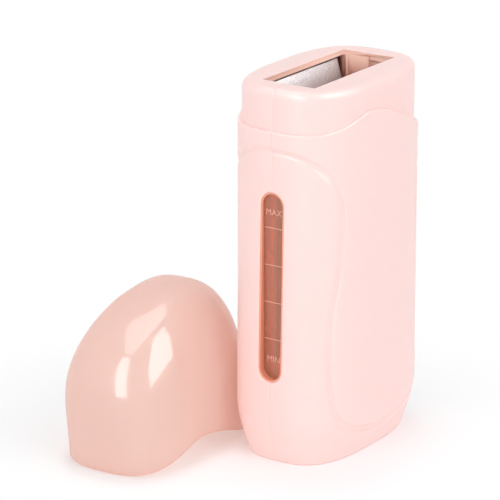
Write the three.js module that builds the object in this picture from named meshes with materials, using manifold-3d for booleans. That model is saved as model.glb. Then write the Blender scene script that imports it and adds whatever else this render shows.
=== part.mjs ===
// A cartridge wax warmer: a two-shell housing with a heated well, a sight window
// in one narrow side, and a translucent cap that stands beside it.
// Millimetres, +Z up. The origin is the middle of the base, -X is the side with
// the window, and the two shells part on the plane Y = 0.

import * as THREE from "three";
import { mergeVertices } from "three/addons/utils/BufferGeometryUtils.js";
import Module from "manifold-3d";

// Clearances
const fitGap = 0.3; // between pieces that seat on each other
const splitGap = 0.3; // between the two shells
const overrun = 2; // how far a cutting solid passes what it cuts

// Housing outline
const housingHeight = 150;
const endThickness = 10.25; // from the mouth to the outside of the neck, on the narrow sides
const broadThickness = 13; // the same on the broad sides
const shoulderStep = 1.5;
const outlinePower = 3; // 2 is an ellipse, more is squarer
const rimRadius = 3;
const shoulderRadius = 0.6;
const housingWall = 2.2;
const topPlate = 2.2;
const floorPlate = 2.4;

// Shoulder, a wave that is highest on the broad sides
const neckRise = 10.6; // from the top of the wave to the rim
const shoulderPeakOffset = 11; // from the middle towards the window
const shoulderDropNear = 5.6;
const shoulderDropFar = 14.8;
const shoulderNearPower = 0.75; // how soon it falls towards the window, 1 is a plain wave

// Foot and grip
const baseInset = 4.7;
const baseCurveHeight = 21;
const baseCurvePower = 1.5;
const baseEdge = 0.8;
const swell = 0.7;
const swellTopShare = 0.5; // of the housing's height
const gripRecess = 1.1;
const gripFadeShare = 0.3; // of the housing's height

// Groove round the broad panels and over the narrow sides
const archBelowShoulder = 7.4; // from the wave's low, on either narrow side
const archDrop = 9.7;
const archPower = 2.8;
const archTurnShare = 0.62; // turn from the broad side where the arch begins
const grooveHalfWidth = 1.6;
const grooveDepth = 0.6;

// Mouth
const mouthHalfWidth = 28.45;
const mouthHalfDepth = 11.7;
const collarWall = 1.8;
const collarDepth = 12;
const guideRibProud = 0.9;
const guideRibWide = 0.8;
const guideRibOffset = 2.3; // from the mouth's long edge
const tongueHeight = 4.8;
const tongueReach = 6.4;
const tongueDrop = 3.4; // from the rim to the top of the tongue
const tongueWall = 1.3;

// Tab of the front shell's floor that reaches across the split
const footTabHalfWidth = 8;
const footTabReach = 5;

// Sight window
const windowBottom = 34;
const windowTopGap = 16.6; // below the arch
const windowHalfWidth = 5.3;
const windowFrame = 2.9; // flat land round the slot inside the shells
const windowPlug = 1.6;
const windowFlange = 1.4;
const windowFlangeWide = 1.7;

// Cartridge well
const wellFloor = 31;
const wellFloorPlate = 1.8;
const wellWall = 1.5;
const wellEndWall = 1.8;
const wellTopGap = 1.3; // below the collar
const apertureInset = 6.15; // from the ends of the mouth
const apertureBottom = 43.7;
const apertureTopGap = 16.2; // below the top of the well
const railDeep = 1.8;
const railWide = 5.75;
const frontRibProud = 3.4;
const frontRibDeep = 1;
const sightSlotHalfWidth = 4.3;
const tunnelWall = 1.4;
const ledgeThick = 1.2;
const ledgeReach = 2.6;
const ledgeShares = [0.24, 0.64]; // of the window's height

// Heating plate and its heater stack
const plateThick = 1.6;
const plateInset = 2.65; // from the ends of the mouth
const plateSetback = 1.1; // from the mouth's edge to the plate's face
const flareHeight = 8;
const flareReach = 2.4;
const plateTopGap = 1.2;
const heaterRise = 53; // middle of the heater above the well's floor
const heaterInset = 16.45; // from the ends of the mouth
const heaterHalfHeight = 7.5;
const heaterThick = 2.2;
const electrodeThick = 0.4;
const insulatorThick = 0.4;
const backingThick = 1;
const insulatorMargin = 1.5;
const stackGap = 0.2;
const tabWide = 4;
const tabDrop = 6;
const bossRadius = 3.2;
const bossGap = 2.8; // from the backing board
const clampHalfHeight = 5;
const clampThick = 1;
const clampOverhang = 1;
const pilotRadius = 1.1;
const shankRadius = 1.4;
const headRadius = 2.7;
const headHeight = 1.7;
const clampScrewLength = 4;

// Thermostat and fuse on the same plate
const thermostatDrop = 28; // below the heater
const thermostatHalfWidth = 3.9;
const thermostatHalfHeight = 8.5;
const thermostatThick = 3.9;
const thermostatOffset = 4;
const thermostatTab = 2;
const clipHalfHeight = 3.5;
const clipThick = 0.8;
const clipOverhang = 1.5;
const clipBossRadius = 2.6;
const fuseOffset = 16;
const fuseDrop = 31; // below the heater
const fuseRadius = 2;
const fuseLength = 11;
const fuseLeadRadius = 0.5;
const fuseLeadLength = 4;
const shieldThick = 0.6;
const shieldHalfWidth = 19;
const shieldBottom = 50;
const shieldBelowShoulder = 8.6; // from the wave's low on the far side
const shieldInset = 1.5; // from the rear shell's inner face
const shieldRibOffset = 14;
const shieldRibWide = 1.6;

// Pressure plate and its springs
const padProud = 1;
const padGap = 0.4;
const flangeWide = 2.1;
const flangeThick = 1.2;
const padLead = 2.4;
const springRadius = 2.8;
const springWire = 0.7;
const springTurns = 6;
const springTurnSteps = 10;
const springShare = 0.255; // of the pad's height, above and below its middle
const spigotRadius = 1.9;
const spigotLength = 2.4;
const springSeatLength = 1.6;

// Posts and shelves that hold the well
const postRadius = 2.5;
const postInset = 1.05; // from the ends of the mouth
const postLowRise = 14; // above the well's floor
const postHighDrop = 9.5; // below the top of the well
const shelfThick = 2;
const shelfReach = 9; // nearest the middle plane

// Board and lamp
const boardDrop = 7.4; // below the well's floor
const boardThick = 1.6;
const boardHalfDepth = 9;
const boardGap = 5.2; // from the outside of the narrow side
const boardRight = -4;
const boardBossRadius = 2.5;
const boardBossInset = 4.45; // from the end of the mouth
const boardBossSpan = 16;
const boardScrewShank = 0.9;
const boardScrewHead = 1.9;
const boardScrewHeadHeight = 1.4;
const boardScrewLength = 6;
const lampRadius = 1.5;
const lampHeight = 6;
const lampInset = 2.5; // from the end of the board
const beadRadius = 1.2;
const beadLength = 6.5;
const beadLeadRadius = 0.3;
const beadLeadLength = 2.5;
const beadOffset = -16;
const beadSpread = 4.6;

// Power inlet in the far narrow side
const inletHeight = 17;
const inletHalfDepth = 8;
const inletHalfHeight = 5.9;
const inletCorner = 3;
const inletSink = 1.3; // of its face below the body's widest
const inletLength = 16.5;
const inletFlange = 2;
const inletFlangeWide = 1.8;
const inletLand = 3.9; // thickness of the wall that its flange seats on
const socketHalfDepth = 7.2;
const socketHalfHeight = 3.95;
const socketDeep = 12.5;
const pinRadius = 1.18;
const pinOffset = 4.3;
const pinProud = 9;
const pinTail = 2.2;
const inletRibThick = 1.5;
const inletRibHigh = 5;

// Shell screws
const screwInset = 13.45; // from the ends of the mouth
const screwHeight = 15.5;
const screwBossRadius = 3.2;
const screwSeat = 11; // from the middle plane to the head's seat
const screwLength = 17;
const screwPilotDeep = 12;
const counterboreRadius = 3.1;

// Leads
const leadRadius = 0.75;
const lampLeadRadius = 0.5;
const leadStep = 1; // one step of the hand-laid runs

// Cap
const capRise = 42.7; // from the rim of the housing to the top of the dome
const capClearance = 0.3;
const domeShift = 4.95; // of the top, away from the window
const capAside = 2.4; // of its middle, past the housing's narrow side
const capOverlap = 2; // of the two ovals, as seen from the narrow side
const capTurnDegrees = 1.55;
// For each way across: height above the wave's peak where the dome starts, then its two powers
const domeNear = { start: 17.9, fullness: 1.2, steepness: 2.7 };
const domeFar = { start: 5.6, fullness: 3.5, steepness: 2.41 };
const domeBroad = { start: 15.6, fullness: 3.24, steepness: 1.4 };

// Fineness of the faceted surfaces
const outlinePoints = 56;
const capPoints = 48;
const grooveSteps = 56;
const roundSides = 20;
const smallSides = 12;

// Colours and finishes
const shellPink = { color: 0xfcdcd6, roughness: 0.32, metalness: 0 };
const capPeach = { color: 0xf2bfae, roughness: 0.12, metalness: 0, transparent: true, opacity: 0.75 };
const wellPink = { color: 0xf6c4b6, roughness: 0.45, metalness: 0 };
const clearAmber = { color: 0xc47a66, roughness: 0.1, metalness: 0, transparent: true, opacity: 0.5 };
const castAluminium = { color: 0xb4b8be, roughness: 0.5, metalness: 0.9 };
const springSteel = { color: 0xa9abad, roughness: 0.35, metalness: 1 };
const zincSteel = { color: 0xc2c4c6, roughness: 0.4, metalness: 1 };
const brassSheet = { color: 0xc9a24e, roughness: 0.35, metalness: 1 };
const ceramicGrey = { color: 0x6d6f73, roughness: 0.7, metalness: 0 };
const amberFilm = { color: 0xb9761f, roughness: 0.3, metalness: 0 };
const micaBoard = { color: 0xcfc3a4, roughness: 0.6, metalness: 0 };
const blackPlastic = { color: 0x1f1f21, roughness: 0.5, metalness: 0 };
const whiteNylon = { color: 0xe9e6df, roughness: 0.5, metalness: 0 };
const boardGreen = { color: 0x2e6b3c, roughness: 0.5, metalness: 0 };
const lampRed = { color: 0xd4261c, roughness: 0.15, metalness: 0 };
const beadTan = { color: 0xd8b98a, roughness: 0.6, metalness: 0 };
const leadRed = { color: 0xb3261e, roughness: 0.5, metalness: 0 };
const leadBlue = { color: 0x2a4d9b, roughness: 0.5, metalness: 0 };

// Sizes worked out from those above
const neckHalfWidth = mouthHalfWidth + endThickness;
const neckHalfDepth = mouthHalfDepth + broadThickness;
const bodyHalfWidth = neckHalfWidth + shoulderStep;
const bodyHalfDepth = neckHalfDepth + shoulderStep;
const shoulderPeak = housingHeight - neckRise;
const halfSplit = splitGap / 2;
const capWall = shoulderStep - capClearance;
const capTop = housingHeight + capRise;
const collarBottom = housingHeight - topPlate - collarDepth;
const wellTop = collarBottom - wellTopGap;
const wellHalfWidth = mouthHalfWidth + wellEndWall;
const apertureHalfWidth = mouthHalfWidth - apertureInset;
const plateHalfWidth = mouthHalfWidth - plateInset;
const heaterHalfWidth = mouthHalfWidth - heaterInset;
const tabOffset = heaterHalfWidth - tabWide;
const bossOffset = heaterHalfWidth + insulatorMargin + bossGap + bossRadius;
const postOffset = mouthHalfWidth - postInset;
const screwOffset = mouthHalfWidth - screwInset;
const boardTop = wellFloor - boardDrop;
const boardLeft = boardGap - bodyHalfWidth;
const boardBossLeft = boardBossInset - mouthHalfWidth;
const boardBossOffsets = [boardBossLeft, boardBossLeft + boardBossSpan];
const lampOffset = -boardLeft - lampInset;
const inletFace = bodyHalfWidth - inletSink;
const inletBack = inletFace - inletLength;
const inletLandFace = bodyHalfWidth - inletLand;
const capStandX = -(bodyHalfWidth + capAside);
const capStandY = 2 * bodyHalfDepth - capOverlap;
const archHeight = shoulderPeak - shoulderDropNear - archBelowShoulder;
const archFall = shoulderDropFar - shoulderDropNear;
const windowHeight = archHeight - windowTopGap - windowBottom;
const apertureHeight = wellTop - apertureTopGap - apertureBottom;
const heaterHeight = wellFloor + heaterRise;
const thermostatHeight = heaterHeight - thermostatDrop;
const fuseHeight = heaterHeight - fuseDrop;
const postLow = wellFloor + postLowRise;
const postHigh = wellTop - postHighDrop;
const shieldHeight = shoulderPeak - shoulderDropFar - shieldBelowShoulder - shieldBottom;
const springOffset = apertureHeight * springShare;
const plateFace = mouthHalfDepth - plateSetback;
const plateBack = plateFace + plateThick;
const wellBack = plateBack + fitGap + railDeep;
const frontWallBack = -(mouthHalfDepth + wellWall);
const apertureMiddle = apertureBottom + apertureHeight / 2;
const apertureTop = apertureBottom + apertureHeight;
const windowMiddle = windowBottom + windowHeight / 2;
const windowLand = -(bodyHalfWidth - gripRecess - housingWall - fitGap);
const windowFlangeFace = windowLand + fitGap;
const windowBack = windowFlangeFace + windowFlange;
const farReach = bodyHalfWidth + overrun;
const deepReach = bodyHalfDepth + overrun;

const wasm = await Module();
wasm.setup();

// Solids and joins

function solidOf(geometry) {
  const plain = geometry.clone();
  plain.deleteAttribute("normal");
  plain.deleteAttribute("uv");
  const merged = mergeVertices(plain);
  const corners = merged.index.array;
  const kept = [];
  for (let i = 0; i < corners.length; i += 3) {
    const [a, b, c] = [corners[i], corners[i + 1], corners[i + 2]];
    if (a !== b && b !== c && c !== a) kept.push(a, b, c);
  }
  return new wasm.Manifold(
    new wasm.Mesh({
      numProp: 3,
      vertProperties: merged.getAttribute("position").array,
      triVerts: new Uint32Array(kept),
    }),
  );
}

function geometryOf(solid) {
  const mesh = solid.getMesh();
  const geometry = new THREE.BufferGeometry();
  geometry.setAttribute("position", new THREE.BufferAttribute(mesh.vertProperties, 3));
  geometry.setIndex(new THREE.BufferAttribute(mesh.triVerts, 1));
  geometry.computeVertexNormals();
  return geometry;
}

const join = (...solids) => solids.reduce((whole, next) => whole.add(next));
const cut = (solid, ...tools) => tools.reduce((rest, tool) => rest.subtract(tool), solid);

function block(low, high) {
  const size = high.map((value, axis) => value - low[axis]);
  const middle = high.map((value, axis) => (value + low[axis]) / 2);
  return solidOf(new THREE.BoxGeometry(...size).translate(...middle));
}

const turns = {
  x: new THREE.Matrix4().makeRotationZ(-Math.PI / 2),
  y: new THREE.Matrix4(),
  z: new THREE.Matrix4().makeRotationX(Math.PI / 2),
};

// A round bar from one point, along an axis by a signed length
function bar(axis, radius, start, length, sides = roundSides) {
  const geometry = new THREE.CylinderGeometry(radius, radius, Math.abs(length), sides);
  geometry.applyMatrix4(turns[axis]);
  const middle = new THREE.Vector3(...start);
  middle[axis] += length / 2;
  return solidOf(geometry.translate(middle.x, middle.y, middle.z));
}

// A profile of [radius, distance] points, turned about an axis and set at a point
function turned(axis, profile, start, flip = false, sides = roundSides) {
  const points = profile.map(([radius, distance]) => new THREE.Vector2(radius, distance));
  const geometry = new THREE.LatheGeometry(points, sides);
  if (flip) geometry.rotateX(Math.PI);
  geometry.applyMatrix4(turns[axis]);
  return solidOf(geometry.translate(...start));
}

// A flat outline in the Y-Z plane, extruded along +X from x to x + length
const sideways = new THREE.Matrix4().makeBasis(
  new THREE.Vector3(0, 1, 0),
  new THREE.Vector3(0, 0, 1),
  new THREE.Vector3(1, 0, 0),
);
function slab(shape, x, length) {
  const geometry = new THREE.ExtrudeGeometry(shape, {
    depth: length,
    bevelEnabled: false,
    curveSegments: smallSides / 2,
  });
  return solidOf(geometry.applyMatrix4(sideways).translate(x, 0, 0));
}

function polygon(points) {
  return new THREE.Shape(points.map(([across, up]) => new THREE.Vector2(across, up)));
}

// A slot with round ends, upright, about Y = 0
function capsule(halfWidth, bottom, top) {
  const shape = new THREE.Shape();
  shape.absarc(0, top - halfWidth, halfWidth, 0, Math.PI);
  shape.absarc(0, bottom + halfWidth, halfWidth, Math.PI, 2 * Math.PI);
  shape.closePath();
  return shape;
}

function roundedRectangle(halfAcross, halfUp, middleUp, corner) {
  const shape = new THREE.Shape();
  const across = halfAcross - corner;
  const up = halfUp - corner;
  shape.absarc(across, middleUp + up, corner, 0, Math.PI / 2);
  shape.absarc(-across, middleUp + up, corner, Math.PI / 2, Math.PI);
  shape.absarc(-across, middleUp - up, corner, Math.PI, 1.5 * Math.PI);
  shape.absarc(across, middleUp - up, corner, 1.5 * Math.PI, 2 * Math.PI);
  shape.closePath();
  return shape;
}

// A closed skin over rings of equal count, listed from the lowest to the highest
function loft(rings) {
  const around = rings[0].length;
  const positions = rings.flat().flatMap((point) => [point.x, point.y, point.z]);
  const corners = [];
  for (let level = 0; level + 1 < rings.length; level += 1) {
    for (let k = 0; k < around; k += 1) {
      const here = level * around + k;
      const next = level * around + ((k + 1) % around);
      corners.push(here, next, next + around, here, next + around, here + around);
    }
  }
  const last = (rings.length - 1) * around;
  const lowCentre = positions.length / 3;
  const highCentre = lowCentre + 1;
  for (const ring of [rings[0], rings[rings.length - 1]]) {
    const middle = ring.reduce((sum, point) => sum.add(point), new THREE.Vector3());
    middle.divideScalar(around);
    positions.push(middle.x, middle.y, middle.z);
  }
  for (let k = 0; k < around; k += 1) {
    const next = (k + 1) % around;
    corners.push(lowCentre, next, k, highCentre, last + k, last + next);
  }
  const geometry = new THREE.BufferGeometry();
  geometry.setAttribute("position", new THREE.Float32BufferAttribute(positions, 3));
  geometry.setIndex(corners);
  return solidOf(geometry);
}

// A round tube along a smooth curve
function tube(curve, radius, steps, sides) {
  const section = new THREE.Shape();
  section.absarc(0, 0, radius, 0, 2 * Math.PI);
  return new THREE.ExtrudeGeometry(section, {
    extrudePath: curve,
    steps,
    curveSegments: sides,
    bevelEnabled: false,
  });
}

// Housing surface

// A point of the squared oval, by its angle from +X
function outlinePoint(halfWidth, halfDepth, angle) {
  const across = Math.cos(angle);
  const along = Math.sin(angle);
  const sum = Math.abs(across / halfWidth) ** outlinePower + Math.abs(along / halfDepth) ** outlinePower;
  const reach = sum ** (-1 / outlinePower);
  return new THREE.Vector2(across * reach, along * reach);
}

// How far round from the middle of a broad side (0) to the middle of a narrow side (1)
function turnShareOf(angle) {
  const point = outlinePoint(bodyHalfWidth, bodyHalfDepth, angle);
  return Math.atan2(Math.abs(point.x), Math.abs(point.y)) / (Math.PI / 2);
}

function shoulderHeight(angle) {
  const distance = outlinePoint(bodyHalfWidth, bodyHalfDepth, angle).x + shoulderPeakOffset;
  const near = distance < 0;
  const span = near ? bodyHalfWidth - shoulderPeakOffset : bodyHalfWidth + shoulderPeakOffset;
  const drop = near ? shoulderDropNear : shoulderDropFar;
  const share = Math.min(Math.abs(distance) / span, 1) ** (near ? shoulderNearPower : 1);
  return shoulderPeak - (drop * (1 - Math.cos(Math.PI * share))) / 2;
}

const smooth = (share) => {
  const held = Math.min(Math.max(share, 0), 1);
  return held * held * (3 - 2 * held);
};

// Top of the arch, which falls towards the far side as the shoulder does
function archTopAt(angle) {
  const across = outlinePoint(bodyHalfWidth, bodyHalfDepth, angle).x;
  return archHeight - archFall * smooth((across + bodyHalfWidth) / (2 * bodyHalfWidth));
}

function archHeightAt(angle) {
  const share = Math.min((1 - turnShareOf(angle)) / (1 - archTurnShare), 1);
  return archTopAt(angle) - archDrop * Math.max(share, 0) ** archPower;
}

function baseInsetAt(height) {
  return baseInset * Math.max(1 - height / baseCurveHeight, 0) ** baseCurvePower;
}

function gripRecessAt(height, angle) {
  const turnShare = turnShareOf(angle);
  const side = smooth((turnShare - archTurnShare) / ((1 - archTurnShare) / 2));
  const top = archHeightAt(angle);
  const below = smooth((top - height + grooveHalfWidth) / (2 * grooveHalfWidth));
  const fadeStart = gripFadeShare * housingHeight;
  const fade = smooth((height - fadeStart) / (archTopAt(angle) - fadeStart));
  return gripRecess * side * below * fade;
}

function bodyPoint(height, angle, inward) {
  const swellTop = swellTopShare * housingHeight;
  const bulge = swell * smooth((swellTop - height) / (swellTop - baseCurveHeight));
  const inset = baseInsetAt(height) + gripRecessAt(height, angle) + inward;
  const point = outlinePoint(bodyHalfWidth + bulge - inset, bodyHalfDepth - inset, angle);
  return new THREE.Vector3(point.x, point.y, height);
}

function neckPoint(height, angle, inward) {
  const point = outlinePoint(neckHalfWidth - inward, neckHalfDepth - inward, angle);
  return new THREE.Vector3(point.x, point.y, height);
}

const anglesOf = (count) => Array.from({ length: count }, (_, k) => (2 * Math.PI * k) / count);
const ringOf = (pointAt, heightAt, inward) =>
  anglesOf(outlinePoints).map((angle) => pointAt(heightAt(angle), angle, inward));

const baseCurveShares = [0.17, 0.35, 0.6, 1];
const sideShares = [0.28, 0.55, 0.8]; // of the way from the foot's curve to the arch

// Rings up the lower body, at an inset that makes them the outside or the cavity
function bodyRings(inward) {
  const sideTop = archHeight - archFall - archDrop - grooveHalfWidth * 2;
  const heights = [
    ...baseCurveShares.map((share) => baseCurveHeight * share),
    ...sideShares.map((share) => baseCurveHeight + (sideTop - baseCurveHeight) * share),
  ];
  const rings = heights.map((height) => ringOf(bodyPoint, () => height, inward));
  for (const side of [-1, 1]) {
    rings.push(ringOf(bodyPoint, (angle) => archHeightAt(angle) + side * grooveHalfWidth, inward));
  }
  return rings;
}

// A quarter of a rounding, as [inward, down] shares of its radius
const roundingShares = [0, 0.33, 0.67, 1].map((share) => {
  const angle = (share * Math.PI) / 2;
  return [1 - Math.cos(angle), 1 - Math.sin(angle)];
});

function housingOutside() {
  const rings = [
    ringOf(bodyPoint, () => 0, baseEdge),
    ringOf(bodyPoint, () => baseEdge, 0),
    ...bodyRings(0),
  ];
  for (const [inward, down] of roundingShares) {
    const heightAt = (angle) => shoulderHeight(angle) - down * shoulderRadius;
    rings.push(ringOf(bodyPoint, heightAt, inward * shoulderRadius));
  }
  rings.push(ringOf(neckPoint, shoulderHeight, 0));
  for (const [inward, down] of roundingShares) {
    rings.push(ringOf(neckPoint, () => housingHeight - down * rimRadius, inward * rimRadius));
  }
  return loft(rings);
}

function housingCavity() {
  const stepHeight = (angle) => shoulderHeight(angle) - housingWall;
  return loft([
    ringOf(bodyPoint, () => floorPlate, housingWall),
    ...bodyRings(housingWall),
    ringOf(bodyPoint, stepHeight, housingWall),
    ringOf(neckPoint, stepHeight, housingWall),
    ringOf(neckPoint, () => housingHeight - topPlate, housingWall),
  ]);
}

// The groove's course from the middle of a broad side to the arch,
// as [turn share, height share of the arch]
const grooveShares = [
  [0, 0.0762],
  [0.19, 0.081],
  [0.383, 0.098],
  [0.464, 0.113],
  [0.516, 0.129],
  [0.554, 0.15],
  [0.586, 0.187],
  [0.607, 0.235],
  [0.6255, 0.351],
  [0.61, 0.483],
  [0.565, 0.616],
  [0.537, 0.749],
  [0.536, 0.804],
  [0.553, 0.862],
  [0.6, 0.914],
];
const archTurnShares = [0.64, 0.7, 0.76, 0.82, 0.9];

// One half of the groove, on the side of Y that is given, as a tube to cut with
function grooveTool(side) {
  const toolRadius = (grooveHalfWidth ** 2 + grooveDepth ** 2) / (2 * grooveDepth);
  const outward = toolRadius - grooveDepth;
  const quarter = [
    ...grooveShares.map(([turn, share]) => [turn, (angle) => share * archTopAt(angle)]),
    ...archTurnShares.map((turn) => [turn, archHeightAt]),
  ];
  const place = ([turn, heightAt], end) => {
    const angle = Math.atan2(side, end * Math.tan((turn * Math.PI) / 2));
    return bodyPoint(heightAt(angle), angle, -outward);
  };
  const narrowMiddle = (end) => {
    const angle = Math.atan2(0, end);
    const seam = bodyPoint(archHeightAt(angle), angle, -outward);
    return [seam, seam.clone().setY(-side * overrun)];
  };
  const near = quarter.slice(1).map((entry) => place(entry, -1));
  const far = quarter.map((entry) => place(entry, 1));
  const points = [
    ...narrowMiddle(-1).reverse(),
    ...near.reverse(),
    ...far,
    ...narrowMiddle(1),
  ];
  return solidOf(tube(new THREE.CatmullRomCurve3(points), toolRadius, grooveSteps, smallSides / 3));
}

// Shells

const outside = housingOutside();
const cavity = housingCavity();
const windowSlot = slab(
  capsule(windowHalfWidth, windowBottom, windowBottom + windowHeight),
  -farReach,
  farReach - wellHalfWidth,
);
const inletNose = roundedRectangle(inletHalfDepth, inletHalfHeight, inletHeight, inletCorner);
const inletHole = slab(
  roundedRectangle(inletHalfDepth + fitGap, inletHalfHeight + fitGap, inletHeight, inletCorner),
  inletBack,
  farReach - inletBack,
);
const mouth = block(
  [-mouthHalfWidth, -mouthHalfDepth, collarBottom - overrun],
  [mouthHalfWidth, mouthHalfDepth, housingHeight + overrun],
);

// A box given by its reach from the middle plane, on one side of it
function sideBlock(side, x, reach, z) {
  const y = reach.map((value) => side * value).sort((a, b) => a - b);
  return block([x[0], y[0], z[0]], [x[1], y[1], z[1]]);
}

// What stands inside a shell, run out past the wall and trimmed by the outside
function shellFittings(side) {
  const pieces = [];
  for (const end of [-1, 1]) {
    const collar = [end * mouthHalfWidth, end * (mouthHalfWidth + collarWall)].sort((a, b) => a - b);
    pieces.push(
      sideBlock(side, collar, [halfSplit, mouthHalfDepth + collarWall], [collarBottom, housingHeight - topPlate / 2]),
    );
    const postStart = fitGap + (side > 0 ? wellBack : -frontWallBack);
    for (const height of [postLow, postHigh]) {
      pieces.push(
        bar("y", postRadius, [end * postOffset, side * postStart, height], side * (deepReach - postStart), smallSides),
      );
    }
    const shelf = [end * postOffset - shelfThick / 2, end * postOffset + shelfThick / 2];
    pieces.push(
      sideBlock(side, shelf, [shelfReach, deepReach], [postLow - wellFloor, wellFloor - wellFloorPlate - fitGap]),
    );
    pieces.push(
      bar("y", screwBossRadius, [end * screwOffset, side * halfSplit, screwHeight], side * deepReach),
    );
  }
  pieces.push(
    slab(
      capsule(
        windowHalfWidth + windowFrame,
        windowBottom - windowFrame,
        windowBottom + windowHeight + windowFrame,
      ),
      -farReach,
      farReach + windowLand,
    ),
    slab(
      roundedRectangle(
        inletHalfDepth + windowFrame,
        inletHalfHeight + windowFrame,
        inletHeight,
        inletCorner + windowFrame,
      ),
      inletLandFace,
      farReach - inletLandFace,
    ),
  );
  const ribFront = inletLandFace - 2 * fitGap - inletFlange;
  pieces.push(
    sideBlock(
      side,
      [ribFront - inletRibThick, ribFront],
      [inletHalfDepth + fitGap, deepReach],
      [inletHeight - inletRibHigh, inletHeight + inletRibHigh],
    ),
  );
  return join(...pieces);
}

// Tongues of the rear shell that close into the front shell's collars
function tongues(grow) {
  const top = housingHeight - tongueDrop + grow;
  return join(
    ...[-1, 1].map((end) => {
      const face = mouthHalfWidth + fitGap - grow;
      const x = [end * face, end * (face + tongueWall + 2 * grow)].sort((a, b) => a - b);
      const reach = tongueReach + grow;
      return block([x[0], -reach, top - tongueHeight - 2 * grow], [x[1], halfSplit + collarWall, top]);
    }),
  );
}

// The tab under the middle of the base, or the notch for it when it is grown
function footTab(grow) {
  const low = grow > 0 ? -overrun : 0;
  const wide = footTabHalfWidth + grow;
  return block([-wide, -halfSplit - housingWall, low], [wide, footTabReach + grow, floorPlate + grow]);
}

function shellBody(side) {
  const half = sideBlock(side, [-farReach, farReach], [halfSplit, deepReach], [-overrun, housingHeight + overrun]);
  const fittings = shellFittings(side).intersect(outside);
  const whole = join(cut(outside, cavity), fittings).intersect(half);
  return cut(whole, mouth, windowSlot, inletHole, grooveTool(side));
}

function frontShell() {
  const pieces = [shellBody(-1), footTab(0)];
  for (const height of [-springOffset, springOffset]) {
    const seat = springSeat() + springSeatLength;
    const spigot = bar("y", spigotRadius, [0, seat, apertureMiddle + height], -(deepReach + seat), smallSides);
    pieces.push(spigot.intersect(outside));
  }
  const pilots = [-1, 1].map((end) =>
    bar("y", pilotRadius, [end * screwOffset, 0, screwHeight], -screwPilotDeep, smallSides),
  );
  return cut(join(...pieces), tongues(fitGap), ...pilots);
}

function rearShell() {
  const ribs = [-1, 1].map((end) => {
    const middle = end * shieldRibOffset;
    const x = [middle - shieldRibWide / 2, middle + shieldRibWide / 2];
    const start = bodyHalfDepth - housingWall - shieldInset;
    return sideBlock(1, x, [start, deepReach], [shieldBottom, shieldBottom + shieldHeight]);
  });
  const guides = [-1, 1].map((end) => {
    const x = [end * (mouthHalfWidth - guideRibProud), end * (mouthHalfWidth + collarWall)].sort((a, b) => a - b);
    const y = mouthHalfDepth - guideRibOffset;
    return block([x[0], y, collarBottom], [x[1], y + guideRibWide, housingHeight - topPlate]);
  });
  const holes = [-1, 1].flatMap((end) => [
    bar("y", shankRadius + fitGap, [end * screwOffset, 0, screwHeight], deepReach, smallSides),
    bar("y", counterboreRadius, [end * screwOffset, screwSeat, screwHeight], deepReach),
  ]);
  const whole = join(shellBody(1), join(...ribs).intersect(outside), ...guides, tongues(0));
  return cut(whole, footTab(fitGap), ...holes);
}

// Cap

// How much of its full reach the dome keeps at a height
function domeShare(height, top, way) {
  const start = shoulderPeak + way.start;
  const climb = Math.min(Math.max((height - start) / (top - start), 0), 1);
  return (1 - climb ** way.steepness) ** (1 / way.fullness);
}

function capPoint(height, angle, inward) {
  const halfWidth = bodyHalfWidth - inward;
  const halfDepth = bodyHalfDepth - inward;
  const top = capTop - inward;
  const point = outlinePoint(halfWidth, halfDepth, angle);
  const middle = domeShift * Math.max((height - shoulderPeak) / (top - shoulderPeak), 0) ** 2;
  const nearSide = point.x < 0;
  const across = point.x / halfWidth;
  const span = nearSide ? halfWidth + middle : halfWidth - middle;
  const x = middle + across * span * domeShare(height, top, nearSide ? domeNear : domeFar);
  return new THREE.Vector3(x, point.y * domeShare(height, top, domeBroad), height);
}

const domeShares = [0.3, 0.5, 0.66, 0.78, 0.87, 0.93, 0.97, 0.99];

function capSkin(inward, rimHeightAt) {
  const top = capTop - inward;
  const ring = (heightAt) => anglesOf(capPoints).map((angle) => capPoint(heightAt(angle), angle, inward));
  return loft([
    ring(rimHeightAt),
    ...domeShares.map((share) => ring(() => shoulderPeak + (top - shoulderPeak) * share)),
    anglesOf(capPoints).map((angle) => {
      const point = capPoint(top - (top - shoulderPeak) * (1 - domeShares.at(-1)) * domeTipShare, angle, inward);
      return point.setZ(top);
    }),
  ]);
}
const domeTipShare = 0.25; // how much of the last stretch the flat tip is drawn in from

function capSolid() {
  const rim = (angle) => shoulderHeight(angle) + fitGap;
  const rimBelow = (angle) => shoulderHeight(angle) - overrun;
  return cut(capSkin(0, rim), capSkin(capWall, rimBelow));
}

// Window and well

function levelWindow() {
  const plugTop = windowBottom + windowHeight - fitGap;
  const plug = capsule(windowHalfWidth - fitGap, windowBottom + fitGap, plugTop);
  const flange = capsule(
    windowHalfWidth + windowFlangeWide,
    windowBottom - windowFlangeWide,
    windowBottom + windowHeight + windowFlangeWide,
  );
  return join(
    slab(plug, windowFlangeFace - windowPlug, windowPlug + windowFlange / 2),
    slab(flange, windowFlangeFace, windowFlange),
  );
}

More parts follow.
